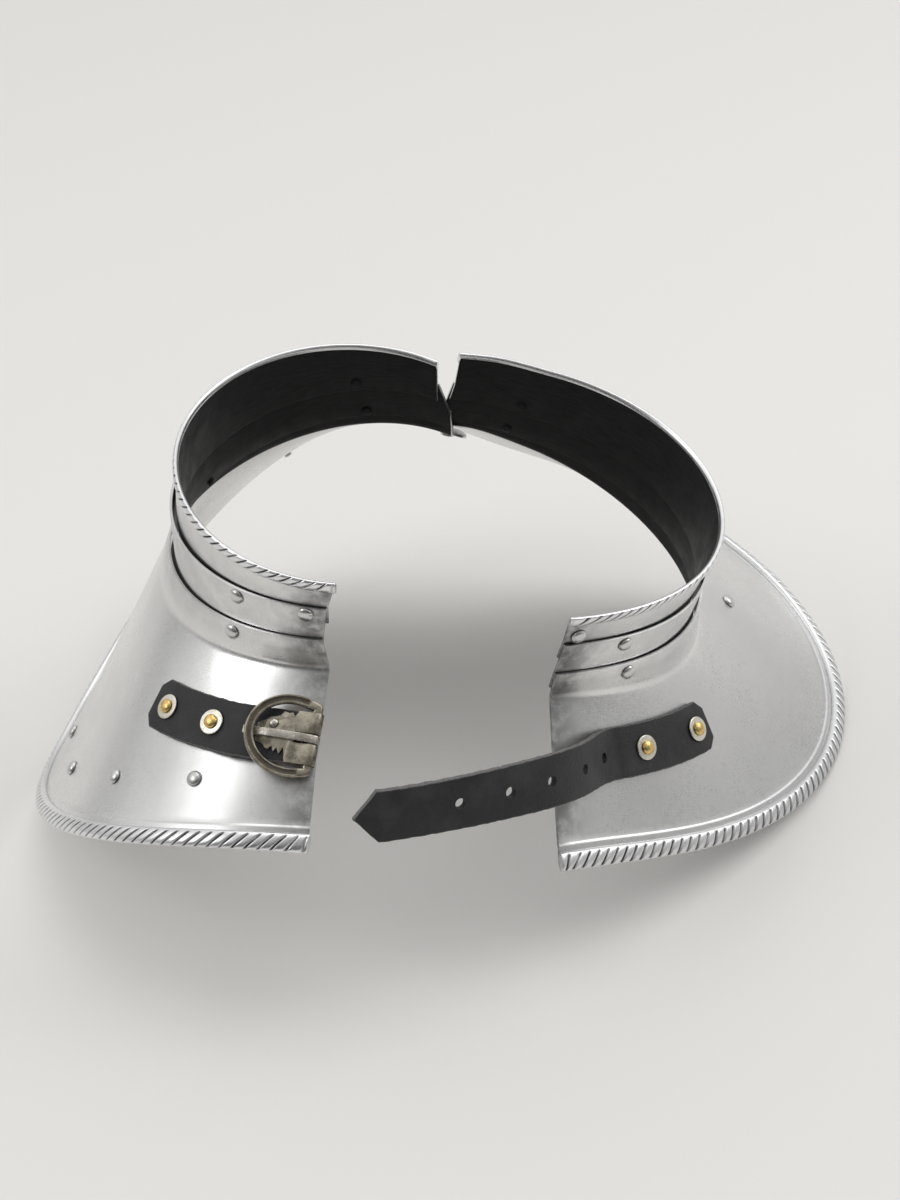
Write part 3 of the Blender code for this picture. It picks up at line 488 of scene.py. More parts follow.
def buckle_frames(front: HalfShape, course_steps: int = 40, steps: int = 22) -> list[Matrix]:
    """Frames of the buckle strap, which rises from the flare to the bar's height.

    Args:
        front: The front half's shape.
        course_steps: Number of steps along the flare.
        steps: Number of steps of the strap.

    Returns:
        The frames from the tail to the bar.
    """
    course = flare_course(front, STRAPS.buckle_course, course_steps)
    total = distances(course)[-1]
    bar_at = total + STRAPS.wire * 0.6
    straight_end = total - STRAPS.chape_length * 0.5
    middle = frame_at(course, straight_end)
    lift = STRAPS.chape_outer + STRAPS.play - STRAPS.thickness / 2.0 - STRAPS.gap
    level_from = total - STRAPS.chape_length
    frames = []
    for step in range(steps + 1):
        length = bar_at * step / steps
        level = middle @ Matrix.Translation((length - straight_end, 0.0, lift))
        share = smooth_step(level_from - STRAPS.rise, level_from, length)
        frames.append(blend(frame_at(course, min(length, total)), level, share))
    return frames


def hole_frames(back: HalfShape, course_steps: int = 10) -> tuple[list[Matrix], float]:
    """Frames of the hole strap.

    Args:
        back: The back half's shape.
        course_steps: Number of steps along the flare.

    Returns:
        The frames from the tail to the tip, and the strap's length on the plate.
    """
    frames = flare_course(back, STRAPS.hole_course, course_steps)
    on_plate = distances(frames)[-1]
    shares, *turns = zip(*STRAPS.free_course)
    place = frames[-1].copy()
    for step in range(STRAPS.free_steps):
        share = step / (STRAPS.free_steps - 1)
        lift, swing, twist = (math.radians(float(np.interp(share, shares, column))) for column in turns)
        place = place @ Matrix.Rotation(-lift, 4, "Y") @ Matrix.Rotation(swing, 4, "Z")
        place = place @ Matrix.Rotation(twist, 4, "X")
        place = place @ Matrix.Translation((STRAPS.free_length / STRAPS.free_steps, 0.0, 0.0))
        frames.append(place.copy())
    return frames, on_plate


def smooth_frames(frames: Sequence[Matrix], per_step: int = 6) -> list[Matrix]:
    """Adds frames between frames on a smooth curve through their origins.

    Args:
        frames: The coarse frames.
        per_step: How many new frames stand for each step.

    Returns:
        The fine frames.
    """
    spots = [place.to_translation() for place in frames]
    spots = [2.0 * spots[0] - spots[1]] + spots + [2.0 * spots[-1] - spots[-2]]
    turns = [place.to_quaternion() for place in frames]
    fine = []
    for index in range(len(frames) - 1):
        before, start, end, after = spots[index:index + 4]
        for step in range(per_step + (index == len(frames) - 2)):
            t = step / per_step
            point = 0.5 * (2.0 * start + (end - before) * t
                           + (2.0 * before - 5.0 * start + 4.0 * end - after) * t ** 2
                           + (3.0 * start - before - 3.0 * end + after) * t ** 3)
            turn = turns[index].slerp(turns[index + 1], t)
            fine.append(Matrix.Translation(point) @ turn.to_matrix().to_4x4())
    return fine


class Placement:
    """Where the closed collar's frame lies in the row frame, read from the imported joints."""

    def __init__(self, front: HalfShape, joints: Sequence[dict]) -> None:
        """Finds the placement.

        Args:
            front: The front half's shape.
            joints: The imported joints.
        """
        crease, hem = front.line("crease", -90.0), front.line("hem", -90.0)
        share = SIZES.pivot_setback / float(np.linalg.norm(hem - crease))
        point = front.flare_place(-90.0, share)[0]
        axis = Vector(SIZES.open_axis)
        self.pivot = frame_of(point, Vector((1.0, 0.0, 0.0)), axis)
        self.bar = buckle_frames(front)[-1] @ Matrix.Translation((0.0, 0.0, STRAPS.thickness / 2.0))
        named = {joint["name"]: joint for joint in joints}
        shoulder, hinge = named["shoulder_pivot"], named["buckle_frame_hinge"]
        closed = frame_of(point, self.bar.to_translation() - point, axis)
        world_point = Vector(shoulder["pos_m"])
        world = frame_of(world_point, Vector(hinge["pos_m"]) - world_point, Vector(shoulder["axis"]))
        self.front = world @ closed.inverted()
        about = Matrix.Translation(Vector(SIZES.open_about))
        self.opened = about @ Matrix.Rotation(math.radians(SIZES.open_angle), 4, axis) @ about.inverted()
        self.back = self.front @ self.opened

    def of(self, half: HalfName) -> Matrix:
        """The placement of a half's pieces."""
        return self.front if half is HalfName.FRONT else self.back


def make_active(item: bpy.types.Object) -> bpy.types.Object:
    """Selects only this object and makes it active.

    Args:
        item: The object.

    Returns:
        The same object.
    """
    if bpy.context.object and bpy.context.object.mode != "OBJECT":
        bpy.ops.object.mode_set(mode="OBJECT")
    bpy.ops.object.select_all(action="DESELECT")
    item.select_set(True)
    bpy.context.view_layer.objects.active = item
    return item


def edit_all(item: bpy.types.Object, *steps: tuple[str, dict[str, object]]) -> None:
    """Runs edit-mode operators on a whole mesh.

    Args:
        item: The mesh object.
        *steps: Each operator's name and its settings.
    """
    make_active(item)
    bpy.ops.object.mode_set(mode="EDIT")
    bpy.ops.mesh.select_all(action="SELECT")
    for name, settings in steps:
        getattr(bpy.ops.mesh, name)(**settings)
    bpy.ops.object.mode_set(mode="OBJECT")


def add_object(name: str, data: bpy.types.ID) -> bpy.types.Object:
    """Adds an object to the scene.

    Args:
        name: Its name.
        data: Its mesh, curve, light or camera.

    Returns:
        The object.
    """
    item = bpy.data.objects.new(name, data)
    bpy.context.scene.collection.objects.link(item)
    return item


def apply_modifier(item: bpy.types.Object, kind: str, **settings: object) -> None:
    """Adds a modifier with settings and applies it.

    Args:
        item: The mesh object.
        kind: The modifier's type.
        **settings: Its values.
    """
    make_active(item)
    modifier = item.modifiers.new(kind.lower(), kind)
    for key, value in settings.items():
        setattr(modifier, key, value)
    bpy.ops.object.modifier_apply(modifier=modifier.name)


def tidy_mesh(item: bpy.types.Object, distance: float = 1e-7) -> None:
    """Merges doubled vertices and turns all faces outward."""
    edit_all(item, ("remove_doubles", {"threshold": distance}), ("normals_make_consistent", {"inside": False}))


def smooth(item: bpy.types.Object, degrees: float = 40.0) -> None:
    """Shades a mesh smooth up to an angle."""
    make_active(item)
    bpy.ops.object.shade_smooth_by_angle(angle=math.radians(degrees))


def lattice_object(name: str, points: np.ndarray,
                   marks: dict[str, np.ndarray] | None = None) -> bpy.types.Object:
    """Lays a grid primitive over a lattice of points.

    Args:
        name: The object's name.
        points: An array of columns by rows by 3.
        marks: Named values to keep on the vertices, each columns by rows.

    Returns:
        The mesh object, with a UV map in metres along columns and rows.
    """
    columns, rows = points.shape[0] - 1, points.shape[1] - 1
    bpy.ops.object.select_all(action="DESELECT")
    bpy.ops.mesh.primitive_grid_add(x_subdivisions=columns, y_subdivisions=rows, size=1.0)
    item = bpy.context.object
    item.name = item.data.name = name
    mesh = item.data
    flat = np.zeros(len(mesh.vertices) * 3)
    mesh.vertices.foreach_get("co", flat)
    flat = flat.reshape(-1, 3)
    column = np.rint((flat[:, 0] + 0.5) * columns).astype(int)
    row = np.rint((flat[:, 1] + 0.5) * rows).astype(int)
    mesh.vertices.foreach_set("co", points[column, row].ravel())
    along = np.concatenate([[0.0], np.cumsum(np.linalg.norm(np.diff(points[:, rows // 2], axis=0), axis=1))])
    across = np.concatenate([[0.0], np.cumsum(np.linalg.norm(np.diff(points[columns // 2], axis=0), axis=1))])
    loop_vertex = np.zeros(len(mesh.loops), dtype=int)
    mesh.loops.foreach_get("vertex_index", loop_vertex)
    uv = np.stack([along[column[loop_vertex]], across[row[loop_vertex]]], -1)
    mesh.uv_layers.active.data.foreach_set("uv", uv.ravel())
    for key, values in (marks or {}).items():
        attribute = mesh.attributes.new(key, "FLOAT", "POINT")
        attribute.data.foreach_set("value", values[column, row].astype(np.float32))
    mesh.update()
    return item


def turn_outward(item: bpy.types.Object, inside: Vector) -> None:
    """Flips an open sheet so that its faces look outwards.

    Args:
        item: The mesh object.
        inside: A point on its inner side.
    """
    faces = item.data.polygons
    if sum(face.normal.dot(face.center - inside) * face.area for face in faces) < 0.0:
        edit_all(item, ("flip_normals", {}))


def subtract(item: bpy.types.Object, cutter: bpy.types.Object) -> None:
    """Cuts one mesh out of another and removes the cutter."""
    apply_modifier(item, "BOOLEAN", operation="DIFFERENCE", solver="EXACT", object=cutter)
    bpy.data.objects.remove(cutter)


@dataclass
class Graph:
    """Adds and links shader nodes in one tree."""

    tree: bpy.types.NodeTree

    def feed(self, node: bpy.types.Node, values: dict[str | int, object]) -> None:
        """Links sockets to a node's inputs, or sets their values.

        Args:
            node: The node.
            values: Values or sockets by the input's name or number.
        """
        for key, value in values.items():
            if isinstance(value, Socket):
                self.tree.links.new(value, node.inputs[key])
            else:
                node.inputs[key].default_value = value

    def node(self, kind: str, values: dict[str | int, object] | None = None,
             **settings: object) -> bpy.types.Node:
        """Adds a node.

        Args:
            kind: The node's type name.
            values: Values or sockets by the input's name or number.
            **settings: The node's own properties.

        Returns:
            The node.
        """
        node = self.tree.nodes.new(kind)
        for key, value in settings.items():
            setattr(node, key, value)
        self.feed(node, values or {})
        return node

    def math(self, operation: str, first: object, second: object = 0.0) -> Socket:
        """A math node's output."""
        return self.node("ShaderNodeMath", {0: first, 1: second}, operation=operation).outputs[0]

    def total(self, *terms: tuple[object, object]) -> Socket:
        """The sum of values times their weights."""
        parts = [self.math("MULTIPLY", value, weight) for value, weight in terms]
        return reduce(lambda first, second: self.math("ADD", first, second), parts)

    def range(self, value: object, low: float, high: float, to_low: object, to_high: object) -> Socket:
        """Maps a value from one range to another, clamped."""
        values = {"Value": value, "From Min": low, "From Max": high, "To Min": to_low, "To Max": to_high}
        return self.node("ShaderNodeMapRange", values).outputs[0]

    def noise(self, vector: object, scale: float, detail: float = 3.0, rough: float = 0.5) -> Socket:
        """A noise texture's value."""
        values = {"Vector": vector, "Scale": scale, "Detail": detail, "Roughness": rough}
        return self.node("ShaderNodeTexNoise", values).outputs[0]

    def stretch(self, vector: object, scale: Colour, turn: float = 0.0) -> Socket:
        """Scales coordinates along each axis and turns them about Z."""
        values = {"Vector": vector, "Scale": scale, "Rotation": (0.0, 0.0, turn)}
        return self.node("ShaderNodeMapping", values).outputs[0]

    def mix(self, factor: object, first: object, second: object) -> Socket:
        """Mixes two colours by the share of the second."""
        first, second = ((*value, 1.0) if isinstance(value, tuple) else value for value in (first, second))
        return self.node("ShaderNodeMix", {0: factor, 6: first, 7: second}, data_type="RGBA").outputs[2]

    def bump(self, height: object, strength: float, distance: float) -> Socket:
        """A bump node's normal, with its depth in metres."""
        values = {"Height": height, "Strength": strength, "Distance": distance}
        return self.node("ShaderNodeBump", values).outputs[0]


@dataclass(frozen=True)
class SteelFinish:
    """Satin sheet steel with fine brushing, soft dents, darker handled patches and painted shade where the
    edge mark is set.
    """

    colour: Colour = (0.78, 0.78, 0.775)
    smudge: Colour = (0.46, 0.46, 0.465)
    # The near-black colour of the painted shade and painted dark reflection.
    film_and_shade: Colour = (0.030, 0.030, 0.032)
    roughness: tuple[float, float] = (0.20, 0.36)

    def fill(self, graph: Graph, source: bpy.types.Node) -> dict[str, Socket]:
        """Builds the group's nodes.

        Args:
            graph: The group's graph.
            source: Its input node.

        Returns:
            The sockets for the group's outputs.
        """
        place, flat = source.outputs["Position"], source.outputs["Flat"]
        fine = graph.noise(graph.stretch(flat, (260.0, 4200.0, 1.0), 0.25), 1.0, 4.0)
        cross = graph.noise(graph.stretch(flat, (2600.0, 180.0, 1.0), -0.12), 1.0, 3.0)
        cloud = graph.noise(place, 16.0, 5.0, 0.55)
        dents = graph.noise(place, 42.0, 2.0, 0.4)
        patch = graph.range(graph.noise(place, 9.0, 1.5, 0.5), 0.50, 0.74, 0.0, 0.45)
        brushed = graph.total((fine, 0.6), (cross, 0.4))
        dark, pale, dull = (tuple(min(c * k, 1.0) for c in self.colour) for k in (0.90, 1.08, 0.78))
        tone = graph.mix(graph.range(brushed, 0.3, 0.7, 0.0, 1.0), dark, pale)
        tone = graph.mix(graph.range(cloud, 0.35, 0.7, 0.0, 0.35), tone, dull)
        tone = graph.mix(graph.math("MULTIPLY", patch, source.outputs["Wear"]), tone, self.smudge)
        rough = graph.math("ADD", graph.range(brushed, 0.3, 0.7, *self.roughness),
                           graph.range(cloud, 0.3, 0.7, -0.04, 0.08))
        # Painted shade from the edge mark, made uneven by a fine noise: on the sheets a painted dark
        # reflection by the near ends and painted shade along the laps, on roped edges painted shade in the
        # cuts. It also roughens the surface.
        uneven = graph.range(graph.noise(place, 120.0, 5.0, 0.65), 0.35, 0.60, 0.35, 1.25)
        painted_shade = graph.math("MINIMUM", graph.math("MULTIPLY", source.outputs["Edge"], uneven), 0.93)
        return {"Color": graph.mix(painted_shade, tone, self.film_and_shade),
                "Roughness": graph.total((rough, 1.0), (painted_shade, 0.3)),
                "Normal": graph.bump(graph.total((brushed, 0.005), (dents, 1.0)), 0.35, 0.0010)}


@dataclass(frozen=True)
class PaintFinish:
    """Black paint with brush marks and rubbed spots."""

    colour: Colour = (0.005, 0.005, 0.0055)
    rubbed: Colour = (0.034, 0.034, 0.036)
    roughness: tuple[float, float] = (0.46, 0.66)

    def fill(self, graph: Graph, source: bpy.types.Node) -> dict[str, Socket]:
        """Builds the group's nodes.

        Args:
            graph: The group's graph.
            source: Its input node.

        Returns:
            The sockets for the group's outputs.
        """
        strokes = graph.noise(graph.stretch(source.outputs["Flat"], (120.0, 1400.0, 1.0)), 1.0, 4.0)
        spots = graph.noise(source.outputs["Position"], 90.0, 6.0, 0.65)
        tone = graph.mix(graph.range(strokes, 0.4, 0.75, 0.0, 0.35), self.colour, self.rubbed)
        tone = graph.mix(graph.range(spots, 0.66, 0.78, 0.0, source.outputs["Wear"]), tone, self.rubbed)
        return {"Color": tone, "Roughness": graph.range(spots, 0.3, 0.7, *self.roughness),
                "Normal": graph.bump(graph.total((strokes, 1.0), (spots, 0.6)), 0.30, 0.0004)}


@dataclass(frozen=True)
class LeatherFinish:
    """Black strap leather with grain on its faces and pale fibres on its cut edges."""

    colour: Colour = (0.016, 0.016, 0.018)
    worn: Colour = (0.048, 0.048, 0.052)
    fibre: Colour = (0.23, 0.225, 0.22)
    roughness: tuple[float, float] = (0.46, 0.66)

    def fill(self, graph: Graph, source: bpy.types.Node) -> dict[str, Socket]:
        """Builds the group's nodes.

        Args:
            graph: The group's graph.
            source: Its input node.

        Returns:
            The sockets for the group's outputs.
        """
        place, edge = source.outputs["Position"], source.outputs["Edge"]
        cells = graph.node("ShaderNodeTexVoronoi", {"Vector": place, "Scale": 1500.0, "Randomness": 1.0},
                           feature="SMOOTH_F1").outputs[0]
        folds = graph.noise(place, 520.0, 5.0, 0.6)
        broad = graph.noise(place, 70.0, 4.0, 0.55)
        fuzz = graph.noise(place, 2600.0, 3.0, 0.7)
        tone = graph.mix(graph.range(broad, 0.45, 0.72, 0.0, 0.75), self.colour, self.worn)
        tone = graph.mix(graph.range(folds, 0.62, 0.76, 0.0, 0.6), tone, self.worn)
        bare = graph.math("MULTIPLY", edge, graph.range(fuzz, 0.35, 0.62, 0.25, 1.0))
        rough = graph.total((graph.range(broad, 0.3, 0.7, *self.roughness), 1.0), (edge, 0.25))
        height = graph.total((cells, 0.8), (folds, 1.0), (graph.math("MULTIPLY", fuzz, 3.0), edge))
        return {"Color": graph.mix(bare, tone, self.fibre), "Roughness": rough,
                "Normal": graph.bump(height, 0.55, 0.00035)}


@dataclass(frozen=True)
class CastFinish:
    """Cast or turned metal with a dark film in its hollows and rubbed high spots."""

    colour: Colour
    film_and_shade: Colour
    roughness: tuple[float, float]
    grime: float
    grain: float = 900.0

    def fill(self, graph: Graph, source: bpy.types.Node) -> dict[str, Socket]:
        """Builds the group's nodes.

        Args:
            graph: The group's graph.
            source: Its input node.

        Returns:
            The sockets for the group's outputs.
        """
        place = source.outputs["Position"]
        cloud = graph.noise(place, 190.0, 5.0, 0.6)
        grains = graph.noise(place, self.grain, 4.0, 0.6)
        pits = graph.range(graph.noise(place, self.grain * 1.7, 2.0), 0.62, 0.72, 0.0, 0.8)
        tone = graph.mix(graph.range(cloud, 0.38, 0.66, 0.0, self.grime), self.colour, self.film_and_shade)
        tone = graph.mix(graph.math("MULTIPLY", pits, source.outputs["Wear"]), tone, self.film_and_shade)
        tone = graph.mix(graph.math("MULTIPLY", source.outputs["Edge"], 0.8), tone, self.film_and_shade)
        height = graph.total((cloud, 1.0), (grains, 0.5), (pits, -0.5))
        return {"Color": tone, "Roughness": graph.range(grains, 0.3, 0.7, *self.roughness),
                "Normal": graph.bump(height, 0.45, 0.00025)}


Surface = SteelFinish | PaintFinish | LeatherFinish | CastFinish

# Each finish's surface, then how metallic and how worn its material is
FINISHES: dict[Finish, tuple[Surface, float, float]] = {
    Finish.STEEL: (SteelFinish(), 1.0, 0.85),
    Finish.ROPE: (SteelFinish(colour=(0.84, 0.845, 0.85), smudge=(0.40, 0.40, 0.41)), 1.0, 0.8),
    Finish.RIVET: (SteelFinish(colour=(0.66, 0.66, 0.65), smudge=(0.25, 0.24, 0.23), roughness=(0.20, 0.34)),
                   1.0, 0.9),
    Finish.PAINT: (PaintFinish(), 0.0, 0.5),
    Finish.LEATHER: (LeatherFinish(), 0.0, 0.5),
    Finish.BRASS: (CastFinish((0.80, 0.57, 0.23), (0.34, 0.21, 0.07), (0.20, 0.38), 0.35), 1.0, 0.6),
    Finish.WASHER: (CastFinish((0.78, 0.75, 0.66), (0.42, 0.38, 0.28), (0.24, 0.42), 0.35), 1.0, 0.5),
    Finish.NICKEL: (CastFinish((0.43, 0.395, 0.32), (0.085, 0.075, 0.055), (0.24, 0.46), 0.75), 1.0, 0.9),
    Finish.WORN: (CastFinish((0.66, 0.62, 0.55), (0.16, 0.14, 0.11), (0.20, 0.40), 0.5), 1.0, 0.7),
}


class MaterialLibrary:
    """Builds each finish's node group and material once."""

    BARE_WEAR = 1.0
    SPECULAR = {Finish.LEATHER: 0.42, Finish.PAINT: 0.28}

    def __init__(self) -> None:
        """Builds the groups, then the materials."""
        self.groups = {finish: self.group(f"{finish.name.lower()}_surface", surface)
                       for finish, (surface, _, _) in FINISHES.items()}
        self.materials = {finish: self.material(finish, metallic, wear)
                          for finish, (_, metallic, wear) in FINISHES.items()}

    @staticmethod
    def group(name: str, finish: Surface) -> bpy.types.NodeTree:
        """Builds a finish's node group.

        Args:
            name: The group's name.
            finish: The finish that fills it.

        Returns:
            The group.
        """
        tree = bpy.data.node_groups.new(name, "ShaderNodeTree")
        for socket, kind in (("Position", "NodeSocketVector"), ("Flat", "NodeSocketVector"),
                             ("Wear", "NodeSocketFloat"), ("Edge", "NodeSocketFloat")):
            tree.interface.new_socket(socket, in_out="INPUT", socket_type=kind)
        for socket, kind in (("Color", "NodeSocketColor"), ("Roughness", "NodeSocketFloat"),
                             ("Normal", "NodeSocketVector")):
            tree.interface.new_socket(socket, in_out="OUTPUT", socket_type=kind)
        graph = Graph(tree)
        source, result = graph.node("NodeGroupInput"), graph.node("NodeGroupOutput")
        graph.feed(result, finish.fill(graph, source))
        return tree

    def use(self, graph: Graph, finish: Finish, wear: float) -> bpy.types.Node:
        """Adds a finish's group to a material with its coordinates.

        Args:
            graph: The material's graph.
            finish: The finish.
            wear: How worn the surface is.

        Returns:
            The group's node.
        """
        place = graph.node("ShaderNodeTexCoord")
        edge = graph.node("ShaderNodeAttribute", attribute_name="edge")
        return graph.node("ShaderNodeGroup", {
            "Position": place.outputs["Object"], "Flat": place.outputs["UV"], "Edge": edge.outputs["Fac"],
            "Wear": wear}, node_tree=self.groups[finish])

    def material(self, finish: Finish, metallic: float, wear: float) -> bpy.types.Material:
        """Builds a material around a finish's group.

        The paint is for inner faces: it covers the neck, and the faces marked bare are dull steel.

        Args:
            finish: The finish it is named for.
            metallic: 1 for a metal.
            wear: How worn the surface is.

        Returns:
            The material.
        """
        material = bpy.data.materials.new(finish.value)
        material.use_nodes = True
        graph = Graph(material.node_tree)
        surface = self.use(graph, finish, wear).outputs
        values = {"Base Color": surface["Color"], "Roughness": surface["Roughness"],
                  "Normal": surface["Normal"], "Metallic": metallic}
        if finish is Finish.PAINT:
            steel = self.use(graph, Finish.STEEL, self.BARE_WEAR).outputs
            mark = graph.node("ShaderNodeAttribute", attribute_name="bare").outputs["Fac"]
            values["Base Color"] = graph.mix(mark, surface["Color"], steel["Color"])
            values["Roughness"] = graph.total((surface["Roughness"], graph.math("SUBTRACT", 1.0, mark)),
                                              (steel["Roughness"], mark))
            values["Metallic"] = mark
        if finish in self.SPECULAR:
            values["Specular IOR Level"] = self.SPECULAR[finish]
        graph.feed(material.node_tree.nodes["Principled BSDF"], values)
        return material

    def dress(self, item: bpy.types.Object, *finishes: Finish) -> None:
        """Gives an object its material slots.

        Args:
            item: The mesh object.
            *finishes: The slots' finishes in order.
        """
        item.data.materials.clear()
        for finish in finishes:
            item.data.materials.append(self.materials[finish])


def settle(item: bpy.types.Object, matrix: Matrix, body: str, slot: str, *nodes: str) -> None:
    """Moves a finished mesh to its place and ties it to the frame.

    Args:
        item: The mesh object, still in the closed collar's frame.
        matrix: Its placement.
        body: The CAD body it rides on.
        slot: The record's material slot; not used.
        *nodes: The CAD nodes it stands for.
    """
    item.data.transform(matrix)
    item.data.update()
    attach(item, body)
    if nodes:
        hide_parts(*nodes)
    triangles = sum(len(polygon.vertices) - 2 for polygon in item.data.polygons)
    LOG.info("%s: %d triangles", item.name, triangles)


@dataclass
class SheetPiece:
    """One steel sheet of a half, with its rolled and roped edge."""

    half: HalfShape
    band: Band
    placement: Placement
    library: MaterialLibrary
    stations: int = 220
    edge_bevel: float = 0.00028
    bare_from: int = 7
    # Painted shade: share and reach of a painted dark reflection by the near end, painted shade on the flange
    # and along the laps, and its most.
    near_painted_reflection: tuple[float, float] = (0.5, 0.013)
    flange_shade: float = 0.10
    lap_shade: float = 0.12
    most_shade: float = 0.6
    inner_point: tuple[float, float, float] = (0.0, 0.0, -0.25)

    @property
    def name(self) -> str:
        """The CAD node's name."""
        return f"{self.half.name.name.lower()}_{self.band.value[0]}"

    def lattice(self) -> tuple[np.ndarray, np.ndarray]:
        """Places the sheet's middle face.

        Returns:
            The points and the mark of the bare inner face.
        """
        end_section = self.half.section(self.band, 90.0)
        rows = len(end_section)
        ends = [self.half.ends_at(self.band, float(point[1])) for point in end_section]
        points = np.zeros((self.stations + 1, rows, 3))
        for row, (near, far) in enumerate(ends):
            for station in range(self.stations + 1):
                degrees = -far + (near + far) * station / self.stations
                points[station, row] = self.half.place(degrees, self.half.section(self.band, degrees)[row])
        bare = np.zeros(points.shape[:2])
        if self.band is Band.BASE:
            bare[:, self.bare_from:] = 1.0
        return points, bare

    def painted_shade(self, points: np.ndarray) -> np.ndarray:
        """How much painted shade darkens each point: most by the near end, where it stands for a dark
        reflection, and along the laps.

        Args:
            points: The sheet's points.

        Returns:
            The share of the painted shade.
        """
        steps = np.linalg.norm(np.diff(points, axis=0), axis=2)
        to_near = np.concatenate([np.cumsum(steps[::-1], axis=0)[::-1], np.zeros((1, points.shape[1]))])
        share, reach = self.near_painted_reflection
        film_and_shade = share * np.exp(-(to_near / reach) ** 2)
        if self.band is Band.BASE:
            film_and_shade[:, :2] += self.flange_shade
        else:
            film_and_shade[:, 0 if self.band is Band.MIDDLE else -2:] += self.lap_shade
        return np.clip(film_and_shade, 0.0, self.most_shade)

    def shorten(self, points: np.ndarray) -> np.ndarray:
        """Stops the sheet inside its rolled edge.

        Args:
            points: The sheet's points, which it changes.

        Returns:
            The same points.
        """
        for band, edge, inner, roll in ((Band.TOP, 0, 1, SIZES.rim_roll), (Band.BASE, -1, -2, SIZES.hem_roll)):
            if self.band is band:
                run = points[:, edge] - points[:, inner]
                points[:, edge] -= run / np.linalg.norm(run, axis=1)[:, None] * roll[0]
        return points

    def cut_end(self, item: bpy.types.Object) -> None:
        """Trims the base plate's far end round the pivot.

        Args:
            item: The sheet or its roped edge, in the closed collar's frame.
        """
        side, lobe = self.half.side, SIZES.pivot_lobe
        reach = SIZES.end_reach[0 if side < 0 else 1]
        inner, outer, across, depth = SIZES.end_cut
        far, ramp = -side * across, lobe * math.sin(math.radians(SIZES.lobe_angle))
        slope = math.tan(math.radians(SIZES.end_wedge))
        outline = [(far, -inner), (-side * reach, -inner), (-side * reach, -ramp)]
        for step in range(SIZES.lobe_steps + 1):
            angle = math.radians(SIZES.lobe_angle * (2.0 * step / SIZES.lobe_steps - 1.0))
            outline.append((-side * lobe * math.cos(angle), lobe * math.sin(angle)))
        outline += [(side * slope * ramp, ramp * 1.02), (side * slope * outer, outer), (far, outer)]
        matrix = self.placement.pivot
        if side > 0:
            turn = Matrix.Rotation(math.radians(SIZES.open_angle), 4, "Z")
            matrix = self.placement.opened.inverted() @ matrix @ turn
        subtract(item, outline_solid("far_end", outline, depth, matrix))

    def build(self) -> None:
        """Builds, dresses and settles the sheet and its roped edge."""
        points, bare = self.lattice()
        # The edge mark carries the painted shade of the near end and the laps.
        film_and_shade = self.painted_shade(points)
        sheet = lattice_object(self.name + "_sheet", self.shorten(points), {"bare": bare, "edge": film_and_shade})
        turn_outward(sheet, Vector(self.inner_point))
        self.library.dress(sheet, Finish.STEEL, Finish.PAINT)
        apply_modifier(sheet, "SOLIDIFY", thickness=SIZES.sheet, offset=0.0, use_even_offset=True,
                       material_offset=1)
        if self.band is Band.BASE:
            self.cut_end(sheet)
        apply_modifier(sheet, "BEVEL", width=self.edge_bevel, segments=2, limit_method="ANGLE",
                       angle_limit=math.radians(60.0))
        smooth(sheet, 50.0)
        half = self.half.name
        body = f"{half.name.lower()}_half"
        settle(sheet, self.placement.of(half), body, "steel", self.name)
        if self.band is not Band.MIDDLE:
            rope = RopedEdge(self.half, self.band).build()
            if self.band is Band.BASE:
                self.cut_end(rope)
                smooth(rope, 60.0)
            self.library.dress(rope, Finish.ROPE)
            settle(rope, self.placement.of(half), body, "steel")


def outline_solid(name: str, outline: Sequence[tuple[float, float]], depth: float,
                  matrix: Matrix) -> bpy.types.Object:
    """Builds a straight-sided solid from a flat outline.

    Args:
        name: The object's name.
        outline: Its corners in the matrix's XY.
        depth: How far it goes to each side.
        matrix: Its place.

    Returns:
        The mesh object.
    """
    curve = bpy.data.curves.new(name, "CURVE")
    curve.dimensions = "2D"
    curve.fill_mode = "BOTH"
    curve.extrude = depth
    spline = curve.splines.new("POLY")
    spline.points.add(len(outline) - 1)
    for point, (x, y) in zip(spline.points, outline):
        point.co = (x, y, 0.0, 1.0)
    spline.use_cyclic_u = True
    make_active(add_object(name, curve))
    bpy.ops.object.convert(target="MESH")
    item = bpy.context.object
    item.data.transform(matrix)
    tidy_mesh(item, 1e-6)
    return item


@dataclass(frozen=True)
class RopeSizes:
    """Section and cuts of a roped edge in metres."""

    half_width: float
    half_depth: float
    pitch: float
    depth: float
    slant: float
    power: float = 0.8
    spread: float = 0.105
    cut_shares: tuple[tuple[float, float], tuple[float, float]] = ((-0.75, -0.45), (0.80, 0.99))
    cut_fade: float = 0.0030
    slant_fade: float = 0.0080
    end_clear: float = 0.0008
    end_step: float = 0.0003
    end_scale: float = 0.92
    stations: tuple[float, ...] = (0.0, 0.05, 0.10, 0.15, 0.22, 0.35, 0.5, 0.65, 0.78, 0.85, 0.90, 0.95)


ROPES = {
    Band.BASE: RopeSizes(0.0040, 0.0021, 0.0052, 0.0011, 0.80),
    Band.TOP: RopeSizes(0.0025, 0.0013, 0.0049, 0.0007, -1.35),
}


